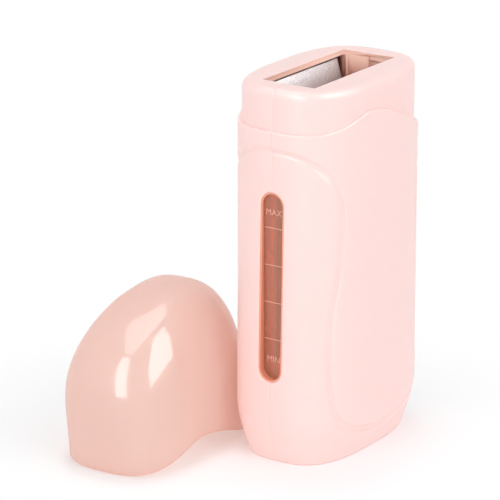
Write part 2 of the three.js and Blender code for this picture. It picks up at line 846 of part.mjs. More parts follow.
function cartridgeWell() {
  const front = frontWallBack;
  const back = wellBack;
  const low = wellFloor - wellFloorPlate;
  const aperture = [
    [-apertureHalfWidth, front - overrun, apertureBottom],
    [apertureHalfWidth, -mouthHalfDepth + overrun, apertureTop],
  ];
  const shell = [
    block([-wellHalfWidth, front, low], [wellHalfWidth, back, wellFloor]),
    cut(block([-wellHalfWidth, front, low], [wellHalfWidth, front + wellWall, wellTop]), block(...aperture)),
  ];
  for (const end of [-1, 1]) {
    const wall = [end * mouthHalfWidth, end * wellHalfWidth].sort((a, b) => a - b);
    const rail = [end * (wellHalfWidth - railWide), end * wellHalfWidth].sort((a, b) => a - b);
    const rib = [end * (mouthHalfWidth - frontRibProud), end * wellHalfWidth].sort((a, b) => a - b);
    shell.push(
      block([wall[0], front, low], [wall[1], back, wellTop]),
      block([rail[0], back - railDeep, low], [rail[1], back, wellTop]),
      block([rib[0], plateFace - fitGap - frontRibDeep, low], [rib[1], plateFace - fitGap, wellTop]),
    );
  }
  for (const middle of boardBossOffsets) {
    shell.push(bar("z", boardBossRadius, [middle, 0, boardTop + fitGap], low - boardTop, smallSides));
  }
  shell.push(...sightTunnel());
  const slot = capsule(
    sightSlotHalfWidth,
    windowBottom + windowFrame,
    windowBottom + windowHeight - windowFrame,
  );
  const pilots = boardBossOffsets.map((middle) =>
    bar("z", boardScrewShank - fitGap, [middle, 0, boardTop], boardScrewLength - boardThick, smallSides),
  );
  return cut(join(...shell), slab(slot, -wellHalfWidth - overrun, 2 * overrun + wellEndWall), ...pilots);
}

// Walls between the window and the well's end, with the small ledges seen through it
function sightTunnel() {
  const wallStart = windowBack + fitGap;
  const inner = windowHalfWidth;
  const bottom = windowBottom - tunnelWall;
  const top = windowBottom + windowHeight + tunnelWall;
  const pieces = [-1, 1].map((side) => {
    const y = [side * inner, side * (inner + tunnelWall)].sort((a, b) => a - b);
    return block([wallStart, y[0], bottom], [-mouthHalfWidth - wellEndWall / 2, y[1], top]);
  });
  for (const share of ledgeShares) {
    const height = windowBottom + windowHeight * share;
    const wedge = polygon([
      [inner + tunnelWall / 2, height],
      [inner + tunnelWall / 2, height + 2 * ledgeThick],
      [inner - ledgeReach, height + ledgeThick],
      [inner - ledgeReach, height],
    ]);
    pieces.push(slab(wedge, wallStart, -mouthHalfWidth - wellEndWall / 2 - wallStart));
  }
  return pieces;
}

// Heating plate and what is clamped to it

const plateLow = wellFloor + fitGap;
const plateTop = housingHeight - topPlate - plateTopGap;
const stack = {};
stack.insulator = plateBack + stackGap;
stack.inner = stack.insulator + insulatorThick + stackGap;
stack.heater = stack.inner + electrodeThick + stackGap;
stack.outer = stack.heater + heaterThick + stackGap;
stack.backing = stack.outer + electrodeThick + stackGap;
stack.clamp = stack.backing + backingThick + stackGap;
const thermostatFace = plateBack + stackGap;
const clipFace = thermostatFace + thermostatThick + stackGap;
const clipBossX = thermostatOffset - thermostatHalfWidth - fitGap - clipBossRadius;
const fuseAxis = plateBack + fitGap + fuseRadius;

function heatingPlate() {
  const bend = plateTop - flareHeight;
  const lean = flareReach / flareHeight;
  const profile = polygon([
    [plateFace, plateLow],
    [plateBack, plateLow],
    [plateBack, bend + (lean * plateThick) / 2],
    [plateBack + flareReach, plateTop],
    [plateFace + flareReach, plateTop],
    [plateFace, bend],
  ]);
  const bossStart = plateBack - plateThick / 2;
  const clampBosses = [-1, 1].map((end) =>
    bar("y", bossRadius, [end * bossOffset, bossStart, heaterHeight], stack.clamp - stackGap - bossStart),
  );
  const clipBoss = bar("y", clipBossRadius, [clipBossX, bossStart, thermostatHeight], clipFace - stackGap - bossStart);
  const pilots = [-1, 1].map((end) =>
    bar("y", pilotRadius, [end * bossOffset, plateBack, heaterHeight], deepReach, smallSides),
  );
  const clipPilot = bar("y", pilotRadius, [clipBossX, plateBack, thermostatHeight], deepReach, smallSides);
  const body = join(slab(profile, -plateHalfWidth, 2 * plateHalfWidth), ...clampBosses, clipBoss);
  return cut(body, ...pilots, clipPilot);
}

// A sheet over the heater's face, grown by a margin on all four edges
function heaterSheet(y, thickness, margin = 0) {
  const halfWidth = heaterHalfWidth + margin;
  const halfHeight = heaterHalfHeight + margin;
  return block(
    [-halfWidth, y, heaterHeight - halfHeight],
    [halfWidth, y + thickness, heaterHeight + halfHeight],
  );
}

function electrode(y, end) {
  const x = end * tabOffset;
  const low = heaterHeight - heaterHalfHeight - tabDrop;
  const tab = block([x - tabWide / 2, y, low], [x + tabWide / 2, y + electrodeThick, heaterHeight]);
  return join(heaterSheet(y, electrodeThick), tab);
}

function heaterClamp() {
  const reach = bossOffset + bossRadius + clampOverhang;
  const strap = block(
    [-reach, stack.clamp, heaterHeight - clampHalfHeight],
    [reach, stack.clamp + clampThick, heaterHeight + clampHalfHeight],
  );
  const holes = [-1, 1].map((end) =>
    bar("y", shankRadius + fitGap, [end * bossOffset, stack.clamp - overrun, heaterHeight], 2 * overrun, smallSides),
  );
  return cut(strap, ...holes);
}

// A pan-head screw whose head's under-face is at the start point, its shank along the axis
function panScrew(axis, start, flip, sizes) {
  const { shank, length, head, height } = sizes;
  const profile = [
    [0, -height],
    [head * 0.7, -height],
    [head, -height * 0.45],
    [head, 0],
    [shank, 0],
    [shank, length - shank],
    [0, length],
  ];
  return turned(axis, profile, start, flip, smallSides);
}

const plateScrew = {
  shank: pilotRadius - fitGap / 3,
  length: clampScrewLength + clampThick,
  head: headRadius,
  height: headHeight,
};
const boardScrew = {
  shank: boardScrewShank - 1.2 * fitGap,
  length: boardScrewLength,
  head: boardScrewHead,
  height: boardScrewHeadHeight,
};
const shellScrew = {
  shank: pilotRadius - fitGap / 3,
  length: screwLength,
  head: headRadius,
  height: headHeight,
};

function thermostatBlock() {
  const [x, half] = [thermostatOffset, thermostatHalfWidth];
  const body = block(
    [x - half, thermostatFace, thermostatHeight - thermostatHalfHeight],
    [x + half, thermostatFace + thermostatThick, thermostatHeight + thermostatHalfHeight],
  );
  const middle = thermostatFace + thermostatThick / 2;
  const reach = thermostatHalfHeight + thermostatTab;
  const tabs = block(
    [x - half / 2, middle - electrodeThick, thermostatHeight - reach],
    [x + half / 2, middle + electrodeThick, thermostatHeight + reach],
  );
  return join(body, tabs);
}

function thermostatClip() {
  const low = clipBossX - clipBossRadius - clipOverhang;
  const high = thermostatOffset + thermostatHalfWidth;
  const strap = block(
    [low, clipFace, thermostatHeight - clipHalfHeight],
    [high, clipFace + clipThick, thermostatHeight + clipHalfHeight],
  );
  const hole = bar("y", shankRadius + fitGap, [clipBossX, clipFace - overrun, thermostatHeight], 2 * overrun, smallSides);
  return cut(strap, hole);
}

function thermalFuse() {
  const half = fuseLength / 2;
  const end = half + fuseLeadLength;
  const profile = [
    [0, -end],
    [fuseLeadRadius, -end],
    [fuseLeadRadius, -half - fuseRadius / 2],
    [fuseRadius, -half],
    [fuseRadius, half],
    [fuseLeadRadius, half + fuseRadius / 2],
    [fuseLeadRadius, end],
    [0, end],
  ];
  return turned("z", profile, [fuseOffset, fuseAxis, fuseHeight], true, smallSides);
}

function heatShield() {
  const back = bodyHalfDepth - housingWall - shieldInset - fitGap;
  return block(
    [-shieldHalfWidth, back - shieldThick, shieldBottom],
    [shieldHalfWidth, back, shieldBottom + shieldHeight],
  );
}

// Pressure plate and springs

const flangeFace = frontWallBack - fitGap;
const flangeBack = flangeFace - flangeThick;

function springSeat() {
  return -(bodyHalfDepth - housingWall);
}

function pressurePlate() {
  const padFace = -mouthHalfDepth + padProud;
  const [low, high] = [apertureBottom + padGap, apertureTop - padGap];
  const pad = polygon([
    [flangeBack, low],
    [padFace - padLead / 2, low],
    [padFace, low + padLead],
    [padFace, high - padLead * 2],
    [padFace - padLead / 2, high],
    [flangeBack, high],
  ].reverse());
  const halfWidth = apertureHalfWidth - padGap;
  const wide = apertureHalfWidth + flangeWide;
  const flange = block(
    [-wide, flangeBack, apertureBottom - flangeWide],
    [wide, flangeFace, apertureTop + flangeWide],
  );
  const spigots = [-1, 1].map((end) =>
    bar(
      "y",
      spigotRadius,
      [0, flangeBack + flangeThick / 2, apertureMiddle + end * springOffset],
      -spigotLength - flangeThick / 2,
      smallSides,
    ),
  );
  return join(slab(pad, -halfWidth, 2 * halfWidth), flange, ...spigots);
}

class SpringCurve extends THREE.Curve {
  constructor(start, end, height) {
    super();
    Object.assign(this, { start, end, height });
  }

  getPoint(share, target = new THREE.Vector3()) {
    const angle = 2 * Math.PI * springTurns * share;
    const y = this.start + (this.end - this.start) * share;
    return target.set(springRadius * Math.cos(angle), y, this.height + springRadius * Math.sin(angle));
  }
}

// One unbroken coil from the back of the pressure plate to the front shell
function plateSpring(end) {
  const start = flangeBack - fitGap - springWire / 2;
  const finish = springSeat() + fitGap + springWire / 2;
  const curve = new SpringCurve(start, finish, apertureMiddle + end * springOffset);
  return tube(curve, springWire / 2, springTurns * springTurnSteps, 2);
}

// Board, lamp and beads

const boardUnder = boardTop - boardThick;

function circuitBoard() {
  const board = block([boardLeft, -boardHalfDepth, boardUnder], [boardRight, boardHalfDepth, boardTop]);
  const holes = boardBossOffsets.map((middle) =>
    bar("z", boardScrewShank, [middle, 0, boardUnder - overrun], boardThick + 2 * overrun, smallSides),
  );
  return cut(board, ...holes);
}

function indicatorLamp() {
  const profile = [
    [0, 0],
    [lampRadius * 1.2, 0],
    [lampRadius * 1.2, lampRadius / 2],
    [lampRadius, lampRadius / 2],
    [lampRadius, lampHeight - lampRadius],
    [lampRadius * 0.7, lampHeight - lampRadius * 0.3],
    [0, lampHeight],
  ];
  return turned("z", profile, [-lampOffset, 0, boardTop + fitGap], false, smallSides);
}

function boardBead(side) {
  const half = beadLength / 2;
  const end = half + beadLeadLength;
  const profile = [
    [0, -end],
    [beadLeadRadius, -end],
    [beadLeadRadius, -half],
    [beadRadius, -half + beadRadius / 4],
    [beadRadius, half - beadRadius / 4],
    [beadLeadRadius, half],
    [beadLeadRadius, end],
    [0, end],
  ];
  const height = boardTop + fitGap + beadRadius;
  return turned("x", profile, [beadOffset, side * beadSpread, height], false, smallSides);
}

// Power inlet

function powerInlet() {
  const flange = roundedRectangle(
    inletHalfDepth + inletFlangeWide,
    inletHalfHeight + inletFlangeWide,
    inletHeight,
    inletCorner + inletFlangeWide,
  );
  const body = join(
    slab(inletNose, inletBack, inletFace - inletBack),
    slab(flange, inletLandFace - fitGap - inletFlange, inletFlange),
  );
  const socket = roundedRectangle(socketHalfDepth, socketHalfHeight, inletHeight, socketHalfHeight * 0.98);
  const holes = [-1, 1].map((side) =>
    bar("x", pinRadius + fitGap / 3, [inletBack - overrun, side * pinOffset, inletHeight], farReach, smallSides),
  );
  return cut(body, slab(socket, inletFace - socketDeep, socketDeep + overrun), ...holes);
}

function inletPin(side) {
  const start = inletBack - pinTail;
  const end = inletFace - socketDeep + pinProud;
  const profile = [
    [0, 0],
    [pinRadius, 0],
    [pinRadius, end - start - pinRadius],
    [pinRadius * 0.6, end - start - pinRadius * 0.2],
    [0, end - start],
  ];
  return turned("x", profile, [start, side * pinOffset, inletHeight], false, smallSides);
}

// Inner leads. Each run is laid by hand, in steps from the ends that it joins

const near = (base, ...steps) => base.map((value, axis) => value + steps[axis] * leadStep);
const tabLow = heaterHeight - heaterHalfHeight - tabDrop;
const thermostatEnd = thermostatHalfHeight + thermostatTab + fitGap;
const thermostatMiddle = thermostatFace + thermostatThick / 2;
const fuseEnd = fuseLength / 2 + fuseLeadLength + fitGap;
const tail = inletBack - pinTail - fitGap;
const liveTail = [tail, pinOffset, inletHeight];
const neutralTail = [tail, -pinOffset, inletHeight];
const fuseFoot = [fuseOffset, fuseAxis, fuseHeight - fuseEnd];
const fuseHead = [fuseOffset, fuseAxis, fuseHeight + fuseEnd];
const thermostatFoot = [thermostatOffset, thermostatMiddle, thermostatHeight - thermostatEnd];
const thermostatHead = [thermostatOffset, thermostatMiddle, thermostatHeight + thermostatEnd];
const wellEdge = (x) => [x, wellBack, wellFloor];
const innerTab = [-tabOffset, stack.inner + electrodeThick / 2, tabLow - fitGap];
const outerTab = [tabOffset, stack.outer + electrodeThick / 2, tabLow - fitGap];

const leads = {
  live_lead: {
    radius: leadRadius,
    points: [
      liveTail,
      near(liveTail, -0.7, 0, 0),
      near(liveTail, -1.1, 0.9, 2.6),
      near(liveTail, -2.2, 4.5, 6.4),
      near(wellEdge(fuseOffset), 1.2, 2.6, -4.5),
      near(wellEdge(fuseOffset), 0.6, 3.2, 0.5),
      near(fuseFoot, 0, 1.4, -3.2),
      fuseFoot,
    ],
  },
  neutral_lead: {
    radius: leadRadius,
    points: [
      neutralTail,
      near(neutralTail, -1.5, 0, 0),
      near(neutralTail, -2.6, 0, 2.6),
      near(neutralTail, -6.9, 3.3, 3.9),
      near(neutralTail, -12.9, 10.3, 4.3),
      near(neutralTail, -18.9, 17.8, 6),
      near(wellEdge(-tabOffset), -1, 3.3, -3.5),
      near(wellEdge(-tabOffset), -7.5, 3.9, 6),
      near(innerTab, -8.2, 4, -16.2),
      near(innerTab, -4, 2.4, -3.7),
      near(innerTab, 0, 0.6, -1.3),
      innerTab,
    ],
  },
  fuse_lead: {
    radius: leadRadius,
    points: [
      fuseHead,
      near(fuseHead, -0.2, 0.6, 2.5),
      near(fuseHead, -3, 2.2, 4),
      near(fuseHead, -5.5, 3.4, -5.8),
      near(fuseHead, -6, 2.6, -15.3),
      near(thermostatFoot, 3, 0.6, -4.2),
      near(thermostatFoot, 0, 0, -1.7),
      thermostatFoot,
    ],
  },
  heater_lead: {
    radius: leadRadius,
    points: [thermostatHead, near(thermostatHead, 0, 0, 0.9), near(outerTab, 0, 0, -1.2), outerTab],
  },
  lamp_live_lead: lampLead(1),
  lamp_neutral_lead: lampLead(-1),
};

function lampLead(side) {
  const pinTop = [inletBack - pinTail / 2, side * pinOffset, inletHeight + pinRadius + fitGap];
  const boardEdge = [boardRight + fitGap, side * pinOffset, boardTop - boardThick / 2];
  return {
    radius: lampLeadRadius,
    points: [
      pinTop,
      near(pinTop, -0.2, 0, 2),
      near([pinTop[0], boardEdge[1], boardEdge[2]], -3, side * 0.6, 2.4),
      near(boardEdge, 12.3, side, 3.4),
      near(boardEdge, 2.7, 0, 1.4),
      boardEdge,
    ],
  };
}

function leadGeometry({ radius, points }) {
  const curve = new THREE.CatmullRomCurve3(points.map((point) => new THREE.Vector3(...point)), false, "centripetal");
  const steps = Math.max(Math.round(curve.getLength() / (4 * radius)), points.length * 2);
  return tube(curve, radius, steps, 4);
}

// Assembly

const part = new THREE.Group();

function addPiece(name, shape, finish, parent = part) {
  const geometry = shape.isBufferGeometry ? shape : geometryOf(shape);
  const mesh = new THREE.Mesh(geometry, new THREE.MeshStandardMaterial(finish));
  mesh.name = name;
  parent.add(mesh);
  return mesh;
}

addPiece("front_shell", frontShell(), shellPink);
addPiece("rear_shell", rearShell(), shellPink);
addPiece("level_window", levelWindow(), clearAmber);
addPiece("cartridge_well", cartridgeWell(), wellPink);
addPiece("heating_plate", heatingPlate(), castAluminium);
addPiece("heater_insulator", heaterSheet(stack.insulator, insulatorThick, insulatorMargin), amberFilm);
addPiece("inner_electrode", electrode(stack.inner, -1), brassSheet);
addPiece("ptc_heater", heaterSheet(stack.heater, heaterThick), ceramicGrey);
addPiece("outer_electrode", electrode(stack.outer, 1), brassSheet);
addPiece("heater_backing", heaterSheet(stack.backing, backingThick, insulatorMargin), micaBoard);
addPiece("heater_clamp", heaterClamp(), zincSteel);
addPiece("thermostat", thermostatBlock(), blackPlastic);
addPiece("thermostat_clip", thermostatClip(), zincSteel);
addPiece("thermal_fuse", thermalFuse(), zincSteel);
addPiece("heat_shield", heatShield(), micaBoard);
addPiece("pressure_plate", pressurePlate(), whiteNylon);
addPiece("plate_spring_lower", plateSpring(-1), springSteel);
addPiece("plate_spring_upper", plateSpring(1), springSteel);
addPiece("circuit_board", circuitBoard(), boardGreen);
addPiece("indicator_lamp", indicatorLamp(), lampRed);
addPiece("lamp_resistor", boardBead(1), beadTan);
addPiece("lamp_diode", boardBead(-1), blackPlastic);
addPiece("power_inlet", powerInlet(), blackPlastic);
addPiece("inlet_pin_live", inletPin(1), brassSheet);
addPiece("inlet_pin_neutral", inletPin(-1), brassSheet);

for (const [end, word] of [
  [-1, "left"],
  [1, "right"],
]) {
  const clampStart = [end * bossOffset, stack.clamp + clampThick + stackGap, heaterHeight];
  addPiece(`clamp_screw_${word}`, panScrew("y", clampStart, true, plateScrew), zincSteel);
  const shellStart = [end * screwOffset, screwSeat + fitGap, screwHeight];
  addPiece(`shell_screw_${word}`, panScrew("y", shellStart, true, shellScrew), zincSteel);
}
const clipStart = [clipBossX, clipFace + clipThick + stackGap, thermostatHeight];
addPiece("clip_screw", panScrew("y", clipStart, true, plateScrew), zincSteel);
boardBossOffsets.forEach((middle, k) => {
  const start = [middle, 0, boardUnder - fitGap];
  addPiece(`board_screw_${["left", "right"][k]}`, panScrew("z", start, false, boardScrew), zincSteel);
});
for (const [name, lead] of Object.entries(leads)) {
  addPiece(name, leadGeometry(lead), name.includes("neutral") ? leadBlue : leadRed);
}

// The cap leans until both narrow ends of its rim stand on the surface
const capGroup = new THREE.Group();
const cap = addPiece("cap", capSolid(), capPeach, capGroup);
const capLean = -Math.atan((shoulderDropFar - shoulderDropNear) / (2 * bodyHalfWidth));
cap.geometry.translate(0, 0, -(shoulderPeak - shoulderDropFar));
capGroup.rotation.set(0, capLean, THREE.MathUtils.degToRad(capTurnDegrees), "ZYX");
capGroup.updateMatrixWorld(true);
const capBox = new THREE.Box3().setFromObject(capGroup, true);
capGroup.position.set(capStandX, capStandY, -capBox.min.z);
part.add(capGroup);

export default part;
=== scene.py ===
"""Looks of a cartridge wax warmer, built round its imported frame.

Everything is in metres in the frame's own axes: +Z up, the sight window at -X,
the shells parting on Y = 0, and the origin in the middle of the base.
"""

import math

import bmesh
import bpy
import numpy as np
from bpy.props import FloatProperty, FloatVectorProperty, IntProperty, PointerProperty
from mathutils import Euler, Matrix, Vector
from mathutils.kdtree import KDTree


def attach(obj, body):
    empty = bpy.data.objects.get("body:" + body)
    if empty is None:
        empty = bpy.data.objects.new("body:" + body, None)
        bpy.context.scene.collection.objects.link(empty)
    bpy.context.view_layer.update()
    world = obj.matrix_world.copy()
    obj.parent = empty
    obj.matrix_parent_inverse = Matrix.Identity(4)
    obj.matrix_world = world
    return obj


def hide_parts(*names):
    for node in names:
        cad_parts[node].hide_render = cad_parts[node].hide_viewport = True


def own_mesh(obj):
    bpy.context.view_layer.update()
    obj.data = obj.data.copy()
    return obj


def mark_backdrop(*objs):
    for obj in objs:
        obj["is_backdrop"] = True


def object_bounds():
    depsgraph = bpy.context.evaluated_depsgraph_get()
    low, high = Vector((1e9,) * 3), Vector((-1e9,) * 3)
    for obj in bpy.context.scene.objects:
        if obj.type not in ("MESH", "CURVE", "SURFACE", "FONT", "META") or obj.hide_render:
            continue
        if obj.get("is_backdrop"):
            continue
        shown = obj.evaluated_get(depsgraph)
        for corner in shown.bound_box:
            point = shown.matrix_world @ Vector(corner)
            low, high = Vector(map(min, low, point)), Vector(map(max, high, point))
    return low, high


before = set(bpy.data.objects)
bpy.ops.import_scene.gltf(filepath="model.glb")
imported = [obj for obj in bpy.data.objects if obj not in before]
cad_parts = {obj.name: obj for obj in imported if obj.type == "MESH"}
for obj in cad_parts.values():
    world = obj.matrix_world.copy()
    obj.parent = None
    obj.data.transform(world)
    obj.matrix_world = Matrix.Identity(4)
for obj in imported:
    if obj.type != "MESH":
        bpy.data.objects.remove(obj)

bl_info = {
    "name": "Cartridge wax warmer",
    "version": (1, 0, 0),
    "blender": (4, 5, 0),
    "location": "3D View > Sidebar > Warmer",
    "description": "Builds the finished looks of a cartridge wax warmer on its frame",
    "category": "Object",
}

MM = 0.001

# Rules of the housing's shape, as the frame's solids follow them
OUTLINE_POWER = 3  # 2 is an ellipse, more is squarer
FOOT_POWER = 1.5
NEAR_WAVE_POWER = 0.75  # how soon the shoulder falls towards the window, 1 is a plain wave
ARCH_TURN = 0.62  # turn from the broad side where the arch begins
ARCH_POWER = 2.8
GRIP_FADE = 0.3  # of the height, where the grip recess begins
GRIP_SIDE = 0.19  # turn over which the recess fades in round the side
GRIP_LIP = 1.6 * MM  # half of the height over which it ends at the arch
FLOOR_TAB = (8 * MM, 5 * MM, 2.4 * MM)  # half width, reach and thickness of the front floor's tab
FIT = 0.3 * MM  # between pieces that seat on each other
WINDOW_SEAT = 35.9 * MM  # across the housing, where the cuts from outside end
INLET_SEAT = 35 * MM
PAST = 60 * MM  # past the housing's walls


# Colours and sizes


def linear(code):
    """An sRGB hex colour as linear red, green and blue."""
    parts = [int(code[i : i + 2], 16) / 255 for i in (0, 2, 4)]
    return tuple(v / 12.92 if v <= 0.04045 else ((v + 0.055) / 1.055) ** 2.4 for v in parts)


def length(name, size, about):
    """A size given in millimetres, which Blender keeps in metres."""
    return FloatProperty(
        name=name, description=about, default=size * MM, unit="LENGTH", subtype="DISTANCE", precision=5
    )


def share(name, value, about):
    return FloatProperty(name=name, description=about, default=value)


def colour(name, code, about):
    return FloatVectorProperty(
        name=name, description=about, default=linear(code), subtype="COLOR", size=3, min=0, max=1
    )


class HousingSizes(bpy.types.PropertyGroup):
    """The two shells, as the frame has them."""

    height: length("Height", 150, "From the base to the rim")
    neck_half_width: length("Neck half width", 38.7, "Half of the neck across the narrow sides")
    neck_half_depth: length("Neck half depth", 24.7, "Half of the neck across the broad sides")
    step: length("Shoulder step", 1.5, "How far the body stands proud of the neck")
    rim_radius: length("Rim radius", 3, "Rounding of the top edge")
    shoulder_radius: length("Shoulder radius", 0.6, "Rounding of the shoulder's edge")
    peak_rise: length("Wave peak", 10.6, "From the top of the shoulder's wave to the rim")
    peak_offset: length("Wave offset", 11, "From the middle to the wave's peak, towards the window")
    drop_near: length("Wave drop by the window", 5.6, "From the wave's peak to its low by the window")
    drop_far: length("Wave drop at the far side", 14.8, "From the wave's peak to its far low")
    foot_inset: length("Foot inset", 4.7, "How far the body draws in at the base")
    foot_height: length("Foot height", 21, "Height of the curve that draws it in")
    foot_edge: length("Foot edge", 0.8, "Rounding round the flat base")
    swell: length("Swell", 0.7, "Extra half width low on the narrow sides")
    grip: length("Grip recess", 1.1, "Depth of the recess under the arch")
    split: length("Split", 0.1, "Gap that shows between the two shells")
    arch_below: length("Arch below shoulder", 7.4, "From the shoulder's low to the line over a narrow side")
    arch_drop: length("Arch drop", 9.7, "How far that line falls before it turns down the broad panels")
    groove_half_width: length("Line half width", 1.75, "Half of the line round the broad panels")
    groove_depth: length("Line depth", 0.65, "Depth of that line")
    skin_depth: length("Skin", 1.2, "Depth of the finely modelled outer skin")
    grid: length("Grid", 0.47, "Spacing of the surface's mesh")


class OpeningSizes(bpy.types.PropertyGroup):
    """What is cut through the shells."""

    mouth_half_width: length("Mouth half width", 28.45, "Half of the mouth across the narrow sides")
    mouth_half_depth: length("Mouth half depth", 11.7, "Half of the mouth across the broad sides")
    mouth_edge: length("Mouth edge", 0.35, "Rounding of the mouth's edge")
    window_bottom: length("Window bottom", 34, "Lowest point of the window's slot")
    window_height: length("Window height", 75.8, "Height of the slot")
    window_half_width: length("Window half width", 5.3, "Half of the slot's width")
    window_edge: length("Window edge", 0.3, "Rounding of the slot's edge")
    inlet_height: length("Inlet height", 17, "Middle of the power inlet above the base")
    inlet_half_depth: length("Inlet half width", 8.3, "Half of the inlet's hole across")
    inlet_half_height: length("Inlet half height", 6.2, "Half of the inlet's hole upright")
    inlet_corner: length("Inlet corner", 3, "Corner radius of that hole")
    screw_offset: length("Screw offset", 15, "From the middle to each shell screw")
    screw_height: length("Screw height", 15.5, "Height of the shell screws")
    screw_seat: length("Screw seat", 11, "From the split to the seat of the screw heads")
    screw_hole: length("Screw hole radius", 3.1, "Radius of the screws' wells")


class WindowSizes(bpy.types.PropertyGroup):
    """The sight window and what is marked on it."""

    half_width: length("Half width", 5.3, "Half of the slot that it fills")
    bottom: length("Bottom", 34, "Lowest point of the slot")
    height: length("Height", 75.8, "Height of the slot")
    face: length("Face", -37.9, "Where its outer face lies across the housing")
    flange_face: length("Flange face", -36.3, "Where its flange meets the shells")
    back: length("Back", -34.9, "Where its inner face lies")
    flange_wide: length("Flange width", 1.7, "How far the flange stands past the slot")
    lip_gap: length("Lip gap", 0.1, "Between the slot's wall and the lip that lines it")
    lip_wide: length("Lip width", 0.6, "Thickness of that lip")
    lip_sunk: length("Lip depth", 0.35, "From the housing's surface to the lip's edge")
    marks: IntProperty(name="Marks", description="Number of level marks", default=4)
    first_mark: length("Top mark", 95.4, "Height of the highest level mark")
    mark_step: length("Mark spacing", 14.9, "Between two level marks")
    mark_half: length("Mark half length", 4.2, "Half of a mark's length")
    mark_thick: length("Mark thickness", 0.3, "Height of a mark's line")
    mark_proud: length("Mark relief", 0.03, "How far the print stands proud")
    word_size: length("Word size", 3.4, "Height of the letters")
    word_top: length("Upper word", 101.5, "Height of the upper word's middle")
    word_bottom: length("Lower word", 42.5, "Height of the lower word's middle")


class PressSizes(bpy.types.PropertyGroup):
    """The springs behind the pressure plate."""

    turns: share("Turns", 6, "Turns of each spring")
    radius: length("Coil radius", 2.8, "From a spring's middle to the middle of its wire")
    wire: length("Wire", 0.7, "Thickness of the wire")
    long: length("Length", 8, "Between the middles of the end turns")
    start: length("Start", -15.35, "Where the springs start, by the pressure plate")
    lower: length("Lower spring", 61.9, "Height of the lower spring")
    upper: length("Upper spring", 100.1, "Height of the upper spring")


class CapSizes(bpy.types.PropertyGroup):
    """The dome, and how it stands."""

    rise: length("Rise", 42.7, "From the housing's rim to the top of the dome")
    wall: length("Wall", 1.2, "Thickness of the dome")
    rim_gap: length("Rim gap", 0.3, "Between its rim and the shoulder when it is on")
    shift: length("Dome shift", 4.95, "How far the top leans away from the window")
    aside: length("Aside", 2.4, "From its middle to the housing's narrow side")
    overlap: length("Overlap", 2, "How far the two ovals overlap, as seen from the narrow side")
    turn: FloatProperty(
        name="Turn", description="Turn about the upright", default=math.radians(1.55), subtype="ANGLE"
    )
    around: IntProperty(name="Points around", description="Mesh points round the dome", default=220)
    levels: IntProperty(name="Levels", description="Mesh rings from the rim to the top", default=110)


class Colours(bpy.types.PropertyGroup):
    """Colours of the finishes, picked to match the photographed ones."""

    shell: colour("Shell", "FFDAD6", "Pale pink moulding")
    # Painted glow: deeper than the shell, standing for light through and between the walls inside
    inside: colour("Shell inside", "FFD0BE", "The shells' unpolished inner faces")
    cap: colour("Cap", "F7E7E1", "Peach tint of the dome")
    # Painted glow: the rim's deeper tint stands for light that leaves it edge on
    cap_rim_painted_glow: colour("Cap rim", "FBC4B0", "The same tint, deeper where the light comes out of the rim")
    # Painted glow: the well's salmon stands for light through and between the mouth's walls
    well: colour("Well", "FFC2B0", "Moulding inside the mouth")
    window: colour("Window", "FCB798", "Tint of the sight window")
    # Painted glow: the bright orange of light leaving the acrylic's edges
    window_edge: colour("Window edge", "F2A184", "The same tint, deep where light leaves the edge")
    mark: colour("Marks", "DFA592", "Level marks on the window")
    plate: colour("Plate", "BAB7B8", "Cast aluminium")


# Mesh building


def link(name, mesh, material=None):
    piece = bpy.data.objects.new(name, mesh)
    bpy.context.scene.collection.objects.link(piece)
    if material is not None:
        mesh.materials.clear()
        mesh.materials.append(material)
    return piece


def face_outward(mesh):
    """Turns a closed mesh's faces outward, judged by its signed volume."""
    work = bmesh.new()
    work.from_mesh(mesh)
    if work.calc_volume(signed=True) < 0:
        bmesh.ops.reverse_faces(work, faces=work.faces)
        work.to_mesh(mesh)
    work.free()
    return mesh


def skin(name, rings):
    """A closed skin over rings of equal count, from the first to the last."""
    # The last two points close the ends as fans
    rings = np.asarray(rings, float)
    levels, around = rings.shape[:2]
    k = np.arange(around)
    following = (k + 1) % around
    rows = np.arange(levels - 1)[:, None] * around
    quads = np.stack([rows + k, rows + following, rows + around + following, rows + around + k], -1)
    ends = np.array([rings[0].mean(0), rings[-1].mean(0)])
    low, high, last = levels * around, levels * around + 1, (levels - 1) * around
    fans = [(low, int(b), int(a)) for a, b in zip(k, following)]
    fans += [(high, last + int(a), last + int(b)) for a, b in zip(k, following)]
    mesh = bpy.data.meshes.new(name)
    points = np.concatenate([rings.reshape(-1, 3), ends]).tolist()
    mesh.from_pydata(points, [], quads.reshape(-1, 4).tolist() + fans)
    return face_outward(mesh)


def prism(name, outline, low, high, axis):
    """A closed prism over a flat outline, between two places along an axis."""
    order = {"X": (2, 0, 1), "Y": (0, 2, 1), "Z": (0, 1, 2)}[axis]
    rings = []
    for place in (low, high):
        flat = np.column_stack([outline, np.full(len(outline), place)])
        rings.append(flat[:, order])
    return skin(name, rings)


def block(name, low, high):
    corners = np.array([[low[0], low[1]], [high[0], low[1]], [high[0], high[1]], [low[0], high[1]]])
    return prism(name, corners, low[2], high[2], "Z")


def combine(mesh, tool, operation):
    """One solid joined with, cut by or kept inside another."""
    body, other = link("work", mesh), link("tool", tool)
    change = body.modifiers.new("Combine", "BOOLEAN")
    change.operation, change.solver, change.object = operation, "MANIFOLD", other
    depsgraph = bpy.context.evaluated_depsgraph_get()
    result = bpy.data.meshes.new_from_object(body.evaluated_get(depsgraph))
    bpy.data.objects.remove(body)
    bpy.data.objects.remove(other)
    if not len(result.polygons):
        raise RuntimeError(f"nothing was left of {mesh.name} after {operation.lower()} with {tool.name}")
    return result


def soften(mesh, degrees):
    """Smooth shading that breaks at edges sharper than an angle."""
    mesh.polygons.foreach_set("use_smooth", [True] * len(mesh.polygons))
    mesh.set_sharp_from_angle(angle=math.radians(degrees))
    return mesh


